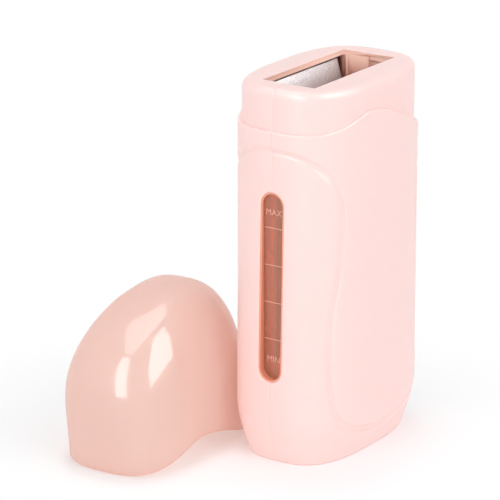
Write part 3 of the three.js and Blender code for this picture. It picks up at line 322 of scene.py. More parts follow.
def frame_mesh(node):
    """A CAD node's shape, its loose triangles welded, for further work."""
    work = bmesh.new()
    work.from_mesh(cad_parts[node].data)
    bmesh.ops.remove_doubles(work, verts=work.verts, dist=0.0005 * MM)
    return work


def frame_copy(node):
    work = frame_mesh(node)
    mesh = bpy.data.meshes.new(node)
    work.to_mesh(mesh)
    work.free()
    return mesh


def eased_copy(node, radius, segments=3, angle=25):
    """A CAD node's shape with every crisp edge eased by a small radius."""
    work = frame_mesh(node)
    bmesh.ops.dissolve_limit(
        work, angle_limit=math.radians(1), verts=work.verts, edges=work.edges, use_dissolve_boundaries=False
    )
    crisp = [e for e in work.edges if len(e.link_faces) == 2 and e.calc_face_angle(0) > math.radians(angle)]
    bmesh.ops.bevel(
        work,
        geom=crisp,
        offset=radius,
        offset_type="OFFSET",
        segments=segments,
        profile=0.5,
        affect="EDGES",
        clamp_overlap=True,
    )
    mesh = bpy.data.meshes.new(node)
    work.to_mesh(mesh)
    work.free()
    return mesh


def settle(piece, nodes, body="root"):
    """Hides the CAD nodes that a finished piece stands for, and gives the piece its body."""
    if nodes:
        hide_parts(*nodes)
    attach(piece, body)
    return piece


# Node trees, and what they grow


def tree_of(name, inputs):
    """An empty geometry tree with named inputs, given as (kind, default) by label."""
    tree = bpy.data.node_groups.new(name, "GeometryNodeTree")
    tree.interface.new_socket("Geometry", in_out="OUTPUT", socket_type="NodeSocketGeometry")
    tree.interface.new_socket("Geometry", in_out="INPUT", socket_type="NodeSocketGeometry")
    for label, (kind, default) in inputs.items():
        socket = tree.interface.new_socket(label, in_out="INPUT", socket_type=kind)
        if default is not None:
            socket.default_value = default
    return tree, add(tree, "NodeGroupInput").outputs


def close_tree(tree, geometry, material):
    """Ends a tree: its instances made real, and its finish set."""
    real = add(tree, "GeometryNodeRealizeInstances", {"Geometry": geometry}).outputs[0]
    done = add(tree, "GeometryNodeSetMaterial", {"Geometry": real, "Material": material}).outputs[0]
    add(tree, "NodeGroupOutput", {"Geometry": done})


def grow(name, tree, base, values):
    """What a tree makes of a base mesh or curve, as a plain mesh."""
    holder = link(f"{name}_base", base)
    growth = holder.modifiers.new("Grow", "NODES")
    growth.node_group = tree
    for item in tree.interface.items_tree:
        if item.in_out == "INPUT" and item.name in values:
            growth[item.identifier] = values[item.name]
    depsgraph = bpy.context.evaluated_depsgraph_get()
    mesh = bpy.data.meshes.new_from_object(holder.evaluated_get(depsgraph))
    bpy.data.objects.remove(holder)
    if not len(mesh.polygons):
        raise RuntimeError(f"the tree {tree.name} made nothing for {name}")
    mesh.name = name
    return mesh


def row_tree():
    """Copies of one piece in a straight row, evenly spaced from the first."""
    tree, given = tree_of(
        "Pieces in a row",
        {
            "Piece": ("NodeSocketObject", None),
            "Count": ("NodeSocketInt", 2),
            "First": ("NodeSocketVector", (0, 0, 0)),
            "Step": ("NodeSocketVector", (0.03, 0, 0)),
            "Finish": ("NodeSocketMaterial", None),
        },
    )
    row = add(
        tree,
        "GeometryNodeMeshLine",
        {"Count": given["Count"], "Start Location": given["First"], "Offset": given["Step"]},
    )
    piece = add(tree, "GeometryNodeObjectInfo", {"Object": given["Piece"]})
    placed = add(
        tree,
        "GeometryNodeInstanceOnPoints",
        {"Points": row.outputs[0], "Instance": piece.outputs["Geometry"]},
    )
    close_tree(tree, placed.outputs[0], given["Finish"])
    return tree


def lead_tree():
    """An insulated wire along a curve, with rounded cut ends closed over."""
    tree, given = tree_of(
        "Wire along a curve",
        {"Radius": ("NodeSocketFloat", 0.0007), "Finish": ("NodeSocketMaterial", None)},
    )
    even = add(tree, "GeometryNodeResampleCurve", {"Curve": given["Geometry"], "Count": 90})
    circle = add(tree, "GeometryNodeCurvePrimitiveCircle", {"Resolution": 20, "Radius": given["Radius"]})
    wire = add(
        tree,
        "GeometryNodeCurveToMesh",
        {"Curve": even.outputs[0], "Profile Curve": circle.outputs[0], "Fill Caps": True},
    )
    close_tree(tree, wire.outputs[0], given["Finish"])
    return tree


END_TURNS = 0.55  # how closely the end turns of a spring lie, from 0, an even coil, to 1


def coil_tree():
    """A compression spring along -Y: a coil whose end turns lie closed and flatter."""
    tree, given = tree_of(
        "Spring coil",
        {
            "Turns": ("NodeSocketFloat", 6.0),
            "Radius": ("NodeSocketFloat", 0.0028),
            "Wire": ("NodeSocketFloat", 0.0007),
            "Length": ("NodeSocketFloat", 0.008),
            "Start": ("NodeSocketVector", (0, 0, 0)),
            "Finish": ("NodeSocketMaterial", None),
        },
    )
    spiral = add(
        tree,
        "GeometryNodeCurveSpiral",
        {
            "Resolution": 40,
            "Rotations": given["Turns"],
            "Start Radius": given["Radius"],
            "End Radius": given["Radius"],
            "Height": given["Length"],
        },
    )
    place = add(tree, "GeometryNodeInputPosition")
    split = add(tree, "ShaderNodeSeparateXYZ", {"Vector": place.outputs[0]})
    closed = add(
        tree,
        "ShaderNodeMapRange",
        {
            "Value": split.outputs["Z"],
            "From Max": given["Length"],
            "To Max": given["Length"],
        },
        interpolation_type="SMOOTHSTEP",
    )
    level = add(
        tree,
        "ShaderNodeMix",
        {"Factor": END_TURNS, "A": split.outputs["Z"], "B": closed.outputs[0]},
        data_type="FLOAT",
    )
    turned = add(
        tree,
        "ShaderNodeCombineXYZ",
        {"X": split.outputs["X"], "Y": level.outputs["Result"], "Z": split.outputs["Y"]},
    )
    flip = add(
        tree, "ShaderNodeVectorMath", {0: turned.outputs[0], 1: (1, -1, 1)}, operation="MULTIPLY"
    )
    moved = add(tree, "ShaderNodeVectorMath", {0: flip.outputs[0], 1: given["Start"]}, operation="ADD")
    bend = {"Geometry": spiral.outputs[0], "Position": moved.outputs[0]}
    coil = add(tree, "GeometryNodeSetPosition", bend)
    half = add(tree, "ShaderNodeMath", {0: given["Wire"], 1: 2.0}, operation="DIVIDE")
    circle = add(tree, "GeometryNodeCurvePrimitiveCircle", {"Resolution": 16, "Radius": half.outputs[0]})
    wire = add(
        tree,
        "GeometryNodeCurveToMesh",
        {"Curve": coil.outputs[0], "Profile Curve": circle.outputs[0], "Fill Caps": True},
    )
    close_tree(tree, wire.outputs[0], given["Finish"])
    return tree


def smooth_curve(name, points):
    """A curve through points in millimetres, eased the same way as the frame's leads."""
    bend = np.array(points, float) * MM
    padded = np.concatenate([[2 * bend[0] - bend[1]], bend, [2 * bend[-1] - bend[-2]]])
    rows = []
    for a, b, c, d in zip(padded, padded[1:], padded[2:], padded[3:]):
        k1 = np.linalg.norm(b - a) ** 0.5
        k2 = k1 + np.linalg.norm(c - b) ** 0.5
        k3 = k2 + np.linalg.norm(d - c) ** 0.5
        t = np.linspace(k1, k2, 12, endpoint=False)[:, None]
        first = (k1 - t) / k1 * a + t / k1 * b
        second = (k2 - t) / (k2 - k1) * b + (t - k1) / (k2 - k1) * c
        third = (k3 - t) / (k3 - k2) * c + (t - k2) / (k3 - k2) * d
        low = (k2 - t) / k2 * first + t / k2 * second
        high = (k3 - t) / (k3 - k1) * second + (t - k1) / (k3 - k1) * third
        rows.append((k2 - t) / (k2 - k1) * low + (t - k1) / (k2 - k1) * high)
    path = np.concatenate(rows + [bend[-1:]])
    curve = bpy.data.curves.new(name, "CURVE")
    curve.dimensions = "3D"
    line = curve.splines.new("POLY")
    line.points.add(len(path) - 1)
    for point, place in zip(line.points, path):
        point.co = (*place, 1)
    return curve


def lathe(name, profile, axis, place, flip=False, sides=48):
    """A turned piece. The profile is [radius, distance] in millimetres along the axis from a place."""
    angle = np.linspace(0, 2 * np.pi, sides, endpoint=False)
    rings = []
    for radius, along in profile:
        a, b, c = radius * np.cos(angle), radius * np.sin(angle), np.full(sides, -along if flip else along)
        order = {"X": (c, a, b), "Y": (a, c, b), "Z": (a, b, c)}[axis]
        rings.append(np.stack(order, -1) * MM + np.array(place) * MM)
    return skin(name, rings)


def rounded(profile, radius, steps=5):
    """A profile with each inner corner rounded by a radius, or less where the runs are short."""
    points = [np.array(p, float) for p in profile]
    result = [points[0]]
    for before, here, after in zip(points, points[1:], points[2:]):
        back, on = before - here, after - here
        reach = min(radius, np.linalg.norm(back) / 2.2, np.linalg.norm(on) / 2.2)
        start, end = here + back / np.linalg.norm(back) * reach, here + on / np.linalg.norm(on) * reach
        for t in np.linspace(0, 1, steps):
            result.append((1 - t) ** 2 * start + 2 * t * (1 - t) * here + t**2 * end)
    result.append(points[-1])
    return [tuple(p) for p in result]


# Shares of a head's radius and height, from its crown to its under-face
PAN_HEAD = [(0.02, -1), (0.62, -0.96), (0.97, -0.5), (1, -0.12), (0.97, 0)]
CROSS_LONG, CROSS_WIDE, CROSS_DEEP = 0.62, 0.16, 0.62  # the recess, as shares of the head
THREAD_ROOT = 0.8  # share of the shank's radius
THREAD_RISE, THREAD_CREST = 0.42, 0.56  # shares of a turn where the crest starts and ends
THREAD_RUN = 0.98  # of the whole turns, so that the last one ends clear of the point
FIRST_TURN = 0.8  # millimetres below the head


def pan_screw(name, axis, flip, shank, long, head, high, pitch):
    """A pan-head screw with a cross recess and a rolled thread, its under-face at the origin."""
    profile = [(head * out, high * up) for out, up in PAN_HEAD] + [(shank, 0)]
    runs = int(long / pitch) - 1
    for turn in range(runs):
        start = long - shank - (runs - turn) * pitch * THREAD_RUN
        if start > FIRST_TURN:
            crest = [(shank, start + pitch * THREAD_RISE), (shank, start + pitch * THREAD_CREST)]
            profile += [(shank * THREAD_ROOT, start), *crest]
    profile += [(shank * THREAD_ROOT, long - shank), (shank * 0.05, long)]
    screw = lathe(name, profile, axis, (0, 0, 0), flip, 36)
    slot_long, slot_wide, deep = head * CROSS_LONG, head * CROSS_WIDE, high * CROSS_DEEP
    sign = 1 if flip else -1
    ends = sorted((sign * (high + 1), sign * (high - deep)))
    for across, up in ((slot_long, slot_wide), (slot_wide, slot_long)):
        flat = np.array([(-across, -up), (across, -up), (across, up), (-across, up)]) * MM
        screw = combine(screw, prism("recess", flat, ends[0] * MM, ends[1] * MM, axis), "DIFFERENCE")
    screw.name = name
    return screw


# Shape of the housing


def outline(half_width, half_depth, angle):
    """The squared oval, as reach along X and Y at an angle."""
    across, along = np.cos(angle), np.sin(angle)
    power = OUTLINE_POWER
    reach = (np.abs(across / half_width) ** power + np.abs(along / half_depth) ** power) ** (-1 / power)
    return across * reach, along * reach


def ease(value):
    held = np.clip(value, 0, 1)
    return held * held * (3 - 2 * held)


def shoulder(s, x):
    """Height of the wave, by place across the body."""
    width = s.neck_half_width + s.step
    distance = x + s.peak_offset
    near = distance < 0
    span = np.where(near, width - s.peak_offset, width + s.peak_offset)
    drop = np.where(near, s.drop_near, s.drop_far)
    part = np.minimum(np.abs(distance) / span, 1) ** np.where(near, NEAR_WAVE_POWER, 1)
    return s.height - s.peak_rise - drop * (1 - np.cos(np.pi * part)) / 2


def turn_share(x, y):
    """0 in the middle of a broad side, 1 in the middle of a narrow one."""
    return np.arctan2(np.abs(x), np.abs(y)) / (np.pi / 2)


def arch_top(s, x):
    """Top of the arch, which falls towards the far side as the shoulder does."""
    width = s.neck_half_width + s.step
    fall = (s.drop_far - s.drop_near) * ease((x + width) / (2 * width))
    return s.height - s.peak_rise - s.drop_near - s.arch_below - fall


def arch(s, turn, x):
    part = np.clip((1 - turn) / (1 - ARCH_TURN), 0, 1)
    return arch_top(s, x) - s.arch_drop * part**ARCH_POWER


def body_point(s, height, angle, inward):
    """Points of the lower body at heights and angles, set in by an amount."""
    half_width, half_depth = s.neck_half_width + s.step, s.neck_half_depth + s.step
    across, along = outline(half_width, half_depth, angle)
    turn = turn_share(across, along)
    inset = s.foot_inset * np.clip(1 - height / s.foot_height, 0, None) ** FOOT_POWER
    low = s.height / 2
    bulge = s.swell * ease((low - height) / (low - s.foot_height))
    side = ease((turn - ARCH_TURN) / GRIP_SIDE)
    below = ease((arch(s, turn, across) - height + GRIP_LIP) / (2 * GRIP_LIP))
    start = GRIP_FADE * s.height
    fade = ease((height - start) / (arch_top(s, across) - start))
    inset = inset + s.grip * side * below * fade + inward
    x, y = outline(half_width + bulge - inset, half_depth - inset, angle)
    return np.stack([x, y, height + 0 * x], -1)


def neck_point(s, height, angle, inward):
    x, y = outline(s.neck_half_width - inward, s.neck_half_depth - inward, angle)
    return np.stack([x, y, height + 0 * x], -1)


# Course of the line round a broad panel: turn share, height as a share of the arch. Past its
# last point the line follows the arch, through the turns of ARCH_COURSE
ARCH_COURSE = [0.64, 0.7, 0.76, 0.82, 0.9, 1.0]
PANEL_COURSE = [
    (0, 0.0762),
    (0.19, 0.081),
    (0.383, 0.098),
    (0.464, 0.113),
    (0.516, 0.129),
    (0.554, 0.15),
    (0.586, 0.187),
    (0.607, 0.235),
    (0.6255, 0.351),
    (0.61, 0.483),
    (0.565, 0.616),
    (0.537, 0.749),
    (0.536, 0.804),
    (0.553, 0.862),
    (0.6, 0.914),
]


def smooth_course(points, count):
    """A Catmull-Rom curve through points, sampled evenly between each two."""
    points = np.array(points, float)
    padded = np.concatenate([[2 * points[0] - points[1]], points, [2 * points[-1] - points[-2]]])
    rows = []
    for a, b, c, d in zip(padded, padded[1:], padded[2:], padded[3:]):
        t = np.linspace(0, 1, count, endpoint=False)[:, None]
        square, cube = 2 * a - 5 * b + 4 * c - d, 3 * b - a - 3 * c + d
        rows.append((2 * b + (c - a) * t + square * t**2 + cube * t**3) / 2)
    return np.concatenate(rows + [points[-1:]])


def panel_line(s):
    """Dense points of the line over one broad half, from seam to seam."""
    half_width, half_depth = s.neck_half_width + s.step, s.neck_half_depth + s.step
    halves = []
    for end in (-1, 1):
        turns = np.array([turn for turn, _ in PANEL_COURSE] + ARCH_COURSE)
        quarter = turns * math.pi / 2
        across = outline(half_width, half_depth, np.arctan2(np.cos(quarter), end * np.sin(quarter)))[0]
        height = arch(s, turns, across)
        known = np.array([part for _, part in PANEL_COURSE])
        height[: len(known)] = known * arch_top(s, across[: len(known)])
        halves.append(np.column_stack([end * turns, height]))
    fine = smooth_course(np.concatenate([halves[0][:0:-1], halves[1]]), 90)
    angle = np.arctan2(np.cos(fine[:, 0] * np.pi / 2), np.sin(fine[:, 0] * np.pi / 2))
    return body_point(s, fine[:, 1], angle, 0)


GROOVE_WALL = 0.5  # share of the line's half width that each of its walls takes


def groove_depth(s, points):
    """How deep the line is cut at each surface point: two soft walls and a flat bottom."""
    line = panel_line(s)
    tree = KDTree(len(line))
    for index, place in enumerate(line):
        tree.insert(place, index)
    tree.balance()
    flat = points.reshape(-1, 3).copy()
    flat[:, 1] = np.abs(flat[:, 1])
    reach = np.array([tree.find(place)[2] for place in flat]) / s.groove_half_width
    depth = s.groove_depth * ease((1 - reach) / GROOVE_WALL)
    return depth.reshape(points.shape[:-1])


def columns(s, spacing):
    """Angles round the body at an even spacing, with a fine pair at each seam."""
    half_width, half_depth = s.neck_half_width + s.step, s.neck_half_depth + s.step
    dense = np.linspace(0, np.pi / 2, 4001)
    x, y = outline(half_width, half_depth, dense)
    run = np.concatenate([[0], np.cumsum(np.hypot(np.diff(x), np.diff(y)))])
    seam = np.array([0.5, 1.5, 3]) * s.split
    places = np.linspace(6 * s.split, run[-1], int(run[-1] / spacing))
    quarter = np.interp(np.concatenate([[0], seam, places]), run, dense)
    half = np.concatenate([quarter, np.pi - quarter[-2::-1]])
    return np.concatenate([half, np.pi + half[1:-1]])


ROUND = [(1 - math.cos(a), 1 - math.sin(a)) for a in np.linspace(0, math.pi / 2, 7)]


def outer_rings(s):
    """The whole outside of the housing, from the base to the rim."""
    angle = columns(s, s.grid)
    width_x = outline(s.neck_half_width + s.step, s.neck_half_depth + s.step, angle)[0]
    wave = shoulder(s, width_x)
    notch = s.split * np.clip(1.5 - np.abs(neck_point(s, 0, angle, 0)[:, 1]) / (2 * s.split), 0, 1)
    rings = []
    for inward, down in reversed(ROUND):
        rings.append(body_point(s, down * s.foot_edge, angle, s.foot_edge * inward))
    levels = int((s.height - s.foot_edge) / s.grid)
    part = np.linspace(0, 1, levels)[1:, None]
    height = s.foot_edge + part * (wave - s.shoulder_radius - s.foot_edge)
    body = body_point(s, height, angle[None, :] + 0 * height, 0)
    cut = groove_depth(s, body) + notch
    body = body_point(s, height, angle[None, :] + 0 * height, cut)
    rings += list(body)
    for inward, down in ROUND[1:]:
        edge = wave - down * s.shoulder_radius
        rings.append(body_point(s, edge, angle, inward * s.shoulder_radius + notch))
    fillet = 0.25 * MM
    for inward, down in ROUND[::2]:
        rings.append(neck_point(s, wave + fillet * inward, angle, notch - fillet * down))
    for part in np.linspace(0, 1, 12)[1:-1]:
        rings.append(neck_point(s, wave + part * (s.height - s.rim_radius - wave), angle, notch))
    for inward, down in ROUND:
        rings.append(neck_point(s, s.height - down * s.rim_radius, angle, inward * s.rim_radius + notch))
    return rings


def core_solid(s, inward):
    """A plainer solid that follows the outside at a depth."""
    angle = np.linspace(0, 2 * np.pi, 240, endpoint=False)
    width_x = outline(s.neck_half_width + s.step, s.neck_half_depth + s.step, angle)[0]
    wave = shoulder(s, width_x) - inward
    rings = [body_point(s, inward, angle, inward)]
    for part in np.linspace(0, 1, 90)[1:]:
        height = inward + part * (wave - inward)
        rings.append(body_point(s, height, angle, inward))
    for height in (wave, s.height - inward):
        rings.append(neck_point(s, height, angle, inward))
    return skin("core", rings)


ROUND_END = 0.999  # corner radius as a share of the half width, for an end that is half round


def rounded_outline(half_across, half_up, middle, corner, grown=0.0):
    """A rounded rectangle across Y and up Z, grown by an amount."""
    radius = corner + grown
    points = []
    for quarter, (right, up) in enumerate([(1, 1), (-1, 1), (-1, -1), (1, -1)]):
        for a in np.linspace(0, np.pi / 2, 13):
            turn = a + quarter * np.pi / 2
            points.append(
                (
                    right * (half_across - corner) + radius * math.cos(turn),
                    middle + up * (half_up - corner) + radius * math.sin(turn),
                )
            )
    return np.array(points)


def slot_outline(o, grown=0.0):
    wide, half = o.window_half_width, o.window_height / 2
    return rounded_outline(wide, half, o.window_bottom + half, wide * ROUND_END, grown)


def narrow_surface(s, y, z):
    """X of the body's surface on a narrow side, above a point of the Y-Z plane."""
    half_width, half_depth = s.neck_half_width + s.step, s.neck_half_depth + s.step
    inset = s.foot_inset * np.clip(1 - z / s.foot_height, 0, None) ** FOOT_POWER
    low = s.height / 2
    bulge = s.swell * ease((low - z) / (low - s.foot_height))
    top = arch_top(s, -half_width)
    start = GRIP_FADE * s.height
    fade = ease((z - start) / (top - start))
    inset = inset + s.grip * fade * (z < top)
    across = 1 - np.abs(y / (half_depth - inset)) ** OUTLINE_POWER
    return (half_width + bulge - inset) * across ** (1 / OUTLINE_POWER)


def flared_tool(s, shape, edge, end, inner):
    """A tool for a hole in a narrow side, whose mouth is rounded by an edge radius."""
    rings = [np.column_stack([np.full(len(shape(0)), end * inner), shape(0)])]
    for growth, depth in reversed(ROUND):
        flat = shape(edge * growth)
        x = narrow_surface(s, flat[:, 0], flat[:, 1])
        rings.append(np.column_stack([end * (x - edge * depth), flat]))
    rings[1:] = rings[:0:-1]
    outside = shape(edge)
    x = narrow_surface(s, outside[:, 0], outside[:, 1])
    rings.append(np.column_stack([end * (x + 3 * MM), outside]))
    return skin("tool", rings)


def mouth_tool(s, o):
    """The mouth's cut through the top plate, with its rounded edge."""
    rings = []
    low = s.height - 2.15 * MM  # just inside the top plate
    slack = 0.01 * MM

    def rectangle(height, grown):
        w, d = o.mouth_half_width + slack + grown, o.mouth_half_depth + slack + grown
        return np.array([[w, d, height], [-w, d, height], [-w, -d, height], [w, -d, height]])

    rings.append(rectangle(low, 0))
    for growth, depth in ROUND:
        rings.append(rectangle(s.height - o.mouth_edge * depth, o.mouth_edge * growth))
    rings.append(rectangle(s.height + 3 * MM, o.mouth_edge))
    return skin("mouth", rings)


def fine_shell(s, o, side, node, outside, inner, zone):
    """One shell: a fine outer skin over the frame's own inner features."""
    far, half = PAST, s.split / 2
    tab_wide, tab_reach, tab_thick = FLOOR_TAB
    cover = combine(outside.copy(), inner.copy(), "DIFFERENCE")
    if side < 0:
        region = block("side", (-far, -far, -far), (far, -half, 4 * far))
        tab = block("tab", (-tab_wide, -far, -far), (tab_wide, tab_reach, tab_thick))
        region = combine(region, tab, "UNION")
    else:
        region = block("side", (-far, half, -far), (far, far, 4 * far))
        room = (tab_wide + FIT, tab_reach + FIT, tab_thick + FIT)
        notch = block("notch", (-tab_wide - FIT, -far, -far), room)
        region = combine(region, notch, "DIFFERENCE")
    cover = combine(cover, region, "INTERSECT")
    core = combine(frame_copy(node), zone.copy(), "INTERSECT")
    whole = combine(cover, core, "UNION")

    def inlet_outline(grown):
        half_depth, half_height = o.inlet_half_depth, o.inlet_half_height
        return rounded_outline(half_depth, half_height, o.inlet_height, o.inlet_corner, grown)

    tools = [
        mouth_tool(s, o),
        flared_tool(s, lambda grown: slot_outline(o, grown), o.window_edge, -1, WINDOW_SEAT),
        flared_tool(s, inlet_outline, o.window_edge, 1, INLET_SEAT),
    ]
    if side > 0:
        for end in (-1, 1):
            radius = o.screw_hole
            ring = rounded_outline(radius, radius, o.screw_height, radius * ROUND_END)
            ring[:, 0] += end * o.screw_offset
            tools.append(prism("well", ring, o.screw_seat, far, "Y"))
    for tool in tools:
        whole = combine(whole, tool, "DIFFERENCE")
    whole.name = node
    return soften(whole, 48)


def paint_inside_glow(s, o, mesh):
    """Gives a shell its second finish on the faces that lie inside the housing's walls and on the window
    slot's walls; that finish's deeper salmon is a painted glow of light through and between the plastic
    walls.
    """
    mesh.materials.append(MATERIALS["shell_inside_painted_glow"])
    count = len(mesh.polygons)
    centres = np.empty(3 * count)
    mesh.polygons.foreach_get("center", centres)
    x, y, z = centres.reshape(-1, 3).T
    half_width, half_depth = s.neck_half_width - s.skin_depth, s.neck_half_depth - s.skin_depth
    reach = np.abs(x / half_width) ** OUTLINE_POWER + np.abs(y / half_depth) ** OUTLINE_POWER
    below_rim = 0.3 * MM
    within = (reach < 1) & (z > s.foot_height) & (z < s.height - below_rim)
    middle, straight = o.window_bottom + o.window_height / 2, o.window_height / 2 - o.window_half_width
    from_axis = np.hypot(y, np.clip(np.abs(z - middle) - straight, 0, None))
    slack = 0.1 * MM
    within |= (x < 0) & (from_axis < o.window_half_width + slack)
    mesh.polygons.foreach_set("material_index", within.astype(np.int32))


# Shape of the cap


# For each way across: height above the wave's peak where the dome starts, and the two powers of
# its curve
DOME_NEAR = (17.9 * MM, 1.2, 2.7)
DOME_FAR = (5.6 * MM, 3.5, 2.41)
DOME_BROAD = (15.6 * MM, 3.24, 1.4)
RING_SPREAD = 2.6  # how much closer the rings lie towards the top
RIM_EDGE = 0.35 * MM  # rounding of the rim


def dome(height, peak, top, way):
    start, fullness, steepness = way
    climb = np.clip((height - peak - start) / (top - peak - start), 0, 1)
    return (1 - climb**steepness) ** (1 / fullness)


def cap_rings(s, c, inward, start_gap, levels):
    """One skin of the dome where it sits on the housing, from the rim to the top."""
    angle = np.linspace(0, 2 * np.pi, c.around, endpoint=False)
    half_width, half_depth = s.neck_half_width + s.step - inward, s.neck_half_depth + s.step - inward
    peak, top = s.height - s.peak_rise, s.height + c.rise - inward
    x, y = outline(half_width, half_depth, angle)
    on_body = outline(s.neck_half_width + s.step, s.neck_half_depth + s.step, angle)[0]
    wave = shoulder(s, on_body) + start_gap
    t = np.linspace(0, 1, levels)[:-1, None]
    even = 1 - (1 - t) ** RING_SPREAD
    height = wave + (top - wave) * even
    middle = c.shift * np.clip((height - peak) / (top - peak), 0, None) ** 2
    across = x / half_width
    span = np.where(x < 0, half_width + middle, half_width - middle)
    keep = np.where(x < 0, dome(height, peak, top, DOME_NEAR), dome(height, peak, top, DOME_FAR))
    return list(
        np.stack([middle + across * span * keep, y * dome(height, peak, top, DOME_BROAD), height], -1)
    )


def cap_mesh(s, c):
    """The dome as it stands beside the housing, tipped on to the two low ends of its rim."""
    outer = cap_rings(s, c, 0, c.rim_gap + RIM_EDGE, c.levels)
    inner = cap_rings(s, c, c.wall, c.rim_gap + RIM_EDGE, c.levels)
    rim = []
    first_out, first_in = outer[0], inner[0]
    for a in np.linspace(0, np.pi, 9)[1:-1]:
        part = (1 - np.cos(a)) / 2
        ring = first_in * (1 - part) + first_out * part
        ring[:, 2] -= RIM_EDGE * np.sin(a)
        rim.append(ring)
    mesh = skin("cap", inner[::-1] + rim + outer)
    mesh.materials.append(MATERIALS["cap"])
    mesh.materials.append(MATERIALS["cap_rim_painted_glow"])
    # The rim's faces take the rim finish, a painted glow of deeper tint
    start = (len(inner) - 1) * c.around
    for face in mesh.polygons[start : start + (len(rim) + 1) * c.around]:
        face.material_index = 1
    lean = -math.atan((s.drop_far - s.drop_near) / (2 * (s.neck_half_width + s.step)))
    pivot = Vector((0, 0, s.height - s.peak_rise - s.drop_far))
    pose = Euler((0, lean, c.turn), "XYZ").to_matrix().to_4x4() @ Matrix.Translation(-pivot)
    mesh.transform(pose)
    low = min(v.co.z for v in mesh.vertices)
    aside = -(s.neck_half_width + s.step + c.aside)
    behind = 2 * (s.neck_half_depth + s.step) - c.overlap
    mesh.transform(Matrix.Translation((aside, behind, -low)))
    return soften(mesh, 60)


# Finishes


def add(tree, kind, inputs=None, **settings):
    """A shader node with its settings, and its inputs as values or sockets."""
    node = tree.nodes.new(kind)
    for key, value in settings.items():
        setattr(node, key, value)
    for key, value in (inputs or {}).items():
        if isinstance(value, bpy.types.NodeSocket):
            tree.links.new(value, node.inputs[key])
        else:
            node.inputs[key].default_value = value
    return node


def rgba(value):
    return (*value, 1.0)


def tinted(base, factor):
    return rgba(min(v * factor, 1) for v in base)


def finish(name, base, roughness, **fixed):
    """A new material on the standard surface shader, with its constant values."""
    material = bpy.data.materials.new(name)
    material.use_nodes = True
    shader = material.node_tree.nodes["Principled BSDF"]
    shader.inputs["Base Color"].default_value = rgba(base)
    shader.inputs["Roughness"].default_value = roughness
    for key, value in fixed.items():
        shader.inputs[key.replace("_", " ").title().replace("Ior", "IOR")].default_value = value
    return material, material.node_tree, shader


def dress_surface(tree, shader, tone, gloss, relief):
    """Joins what a finish worked out to its shader: its tone, its roughness and its relief."""
    for output, name in ((tone, "Base Color"), (gloss, "Roughness"), (relief, "Normal")):
        if output is not None:
            tree.links.new(output, shader.inputs[name])


# Injection-moulded plastic. The eye gets one even colour that drifts a little with the flow of
# the melt, gloss that changes in slow patches, and the faint skin of the mould's own surface.
FLOW_MARK = 30 * MM
GLOSS_PATCH = 9 * MM
MOULD_SKIN = 0.35 * MM  # spark erosion is finer, and is drawn this coarse so that it shows


def moulded(name, base, roughness, grain=MOULD_SKIN, depth=0.004 * MM, **fixed):
    material, tree, shader = finish(name, base, roughness, **fixed)
    place = add(tree, "ShaderNodeTexCoord").outputs["Object"]
    flow = add(tree, "ShaderNodeTexNoise", {"Vector": place, "Scale": 1 / FLOW_MARK})
    patch = add(tree, "ShaderNodeTexNoise", {"Vector": place, "Scale": 1 / GLOSS_PATCH})
    skin_grain = add(tree, "ShaderNodeTexNoise", {"Vector": place, "Scale": 1 / grain})
    tones = {"Factor": flow.outputs["Fac"], "A": tinted(base, 0.985), "B": tinted(base, 1.01)}
    tone = add(tree, "ShaderNodeMix", tones, data_type="RGBA")
    spread = {"Value": patch.outputs["Fac"], "To Min": roughness * 0.88, "To Max": roughness * 1.12}
    gloss = add(tree, "ShaderNodeMapRange", spread)
    relief = {"Height": skin_grain.outputs["Fac"], "Distance": depth, "Strength": 1.0}
    bump = add(tree, "ShaderNodeBump", relief)
    dress_surface(tree, shader, tone.outputs["Result"], gloss.outputs["Result"], bump.outputs["Normal"])
    return material


# Tinted polystyrene, moulded thin and polished. The eye gets a soft peach that lets light
# through its walls, under a hard gloss in which softboxes show crisp.
def translucent_dome(name, tint, through):
    material, tree, shader = finish(
        name, tint, 0.3, coat_weight=1.0, coat_roughness=0.03, coat_ior=1.7, transmission_weight=0.35
    )
    scattered = add(tree, "ShaderNodeBsdfTranslucent", {"Color": tinted(tint, 1.05)})
    wall = add(tree, "ShaderNodeMixShader", {0: through, 1: shader.outputs[0], 2: scattered.outputs[0]})
    tree.links.new(wall.outputs[0], tree.nodes["Material Output"].inputs["Surface"])
    return material


# Rolled or drawn metal, bare or plated. The eye gets fine streaks along the rolling, which
# stretch the highlights, and a slightly clouded tone.
ROLLING_STREAK = 1.2 * MM  # real streaks are finer, and are drawn this coarse so that they show
CLOUDING = 6 * MM


def sheet_metal(name, base, roughness, streak=(1, 1, 12)):
    material, tree, shader = finish(name, base, roughness, metallic=1.0)
    place = add(tree, "ShaderNodeTexCoord").outputs["Object"]
    along = add(tree, "ShaderNodeMapping", {"Vector": place, "Scale": streak}).outputs["Vector"]
    lines = add(tree, "ShaderNodeTexNoise", {"Vector": along, "Scale": 1 / ROLLING_STREAK, "Detail": 4.0})
    cloud = add(tree, "ShaderNodeTexNoise", {"Vector": place, "Scale": 1 / CLOUDING})
    tones = {"Factor": cloud.outputs["Fac"], "A": tinted(base, 0.9), "B": tinted(base, 1.05)}
    tone = add(tree, "ShaderNodeMix", tones, data_type="RGBA")
    spread = {"Value": lines.outputs["Fac"], "To Min": roughness * 0.75, "To Max": roughness * 1.3}
    gloss = add(tree, "ShaderNodeMapRange", spread)
    relief = {"Height": lines.outputs["Fac"], "Distance": 0.01 * MM, "Strength": 1.0}
    bump = add(tree, "ShaderNodeBump", relief)
    dress_surface(tree, shader, tone.outputs["Result"], gloss.outputs["Result"], bump.outputs["Normal"])
    return material


# Sand-cast aluminium, left as it comes from the mould. The eye gets a grey grained skin with small bright
# and dull specks, partly the grain's own tone and partly painted glints.
CAST_GRAIN = 0.9 * MM  # sand grains are a third of this, and are drawn coarser so that they show


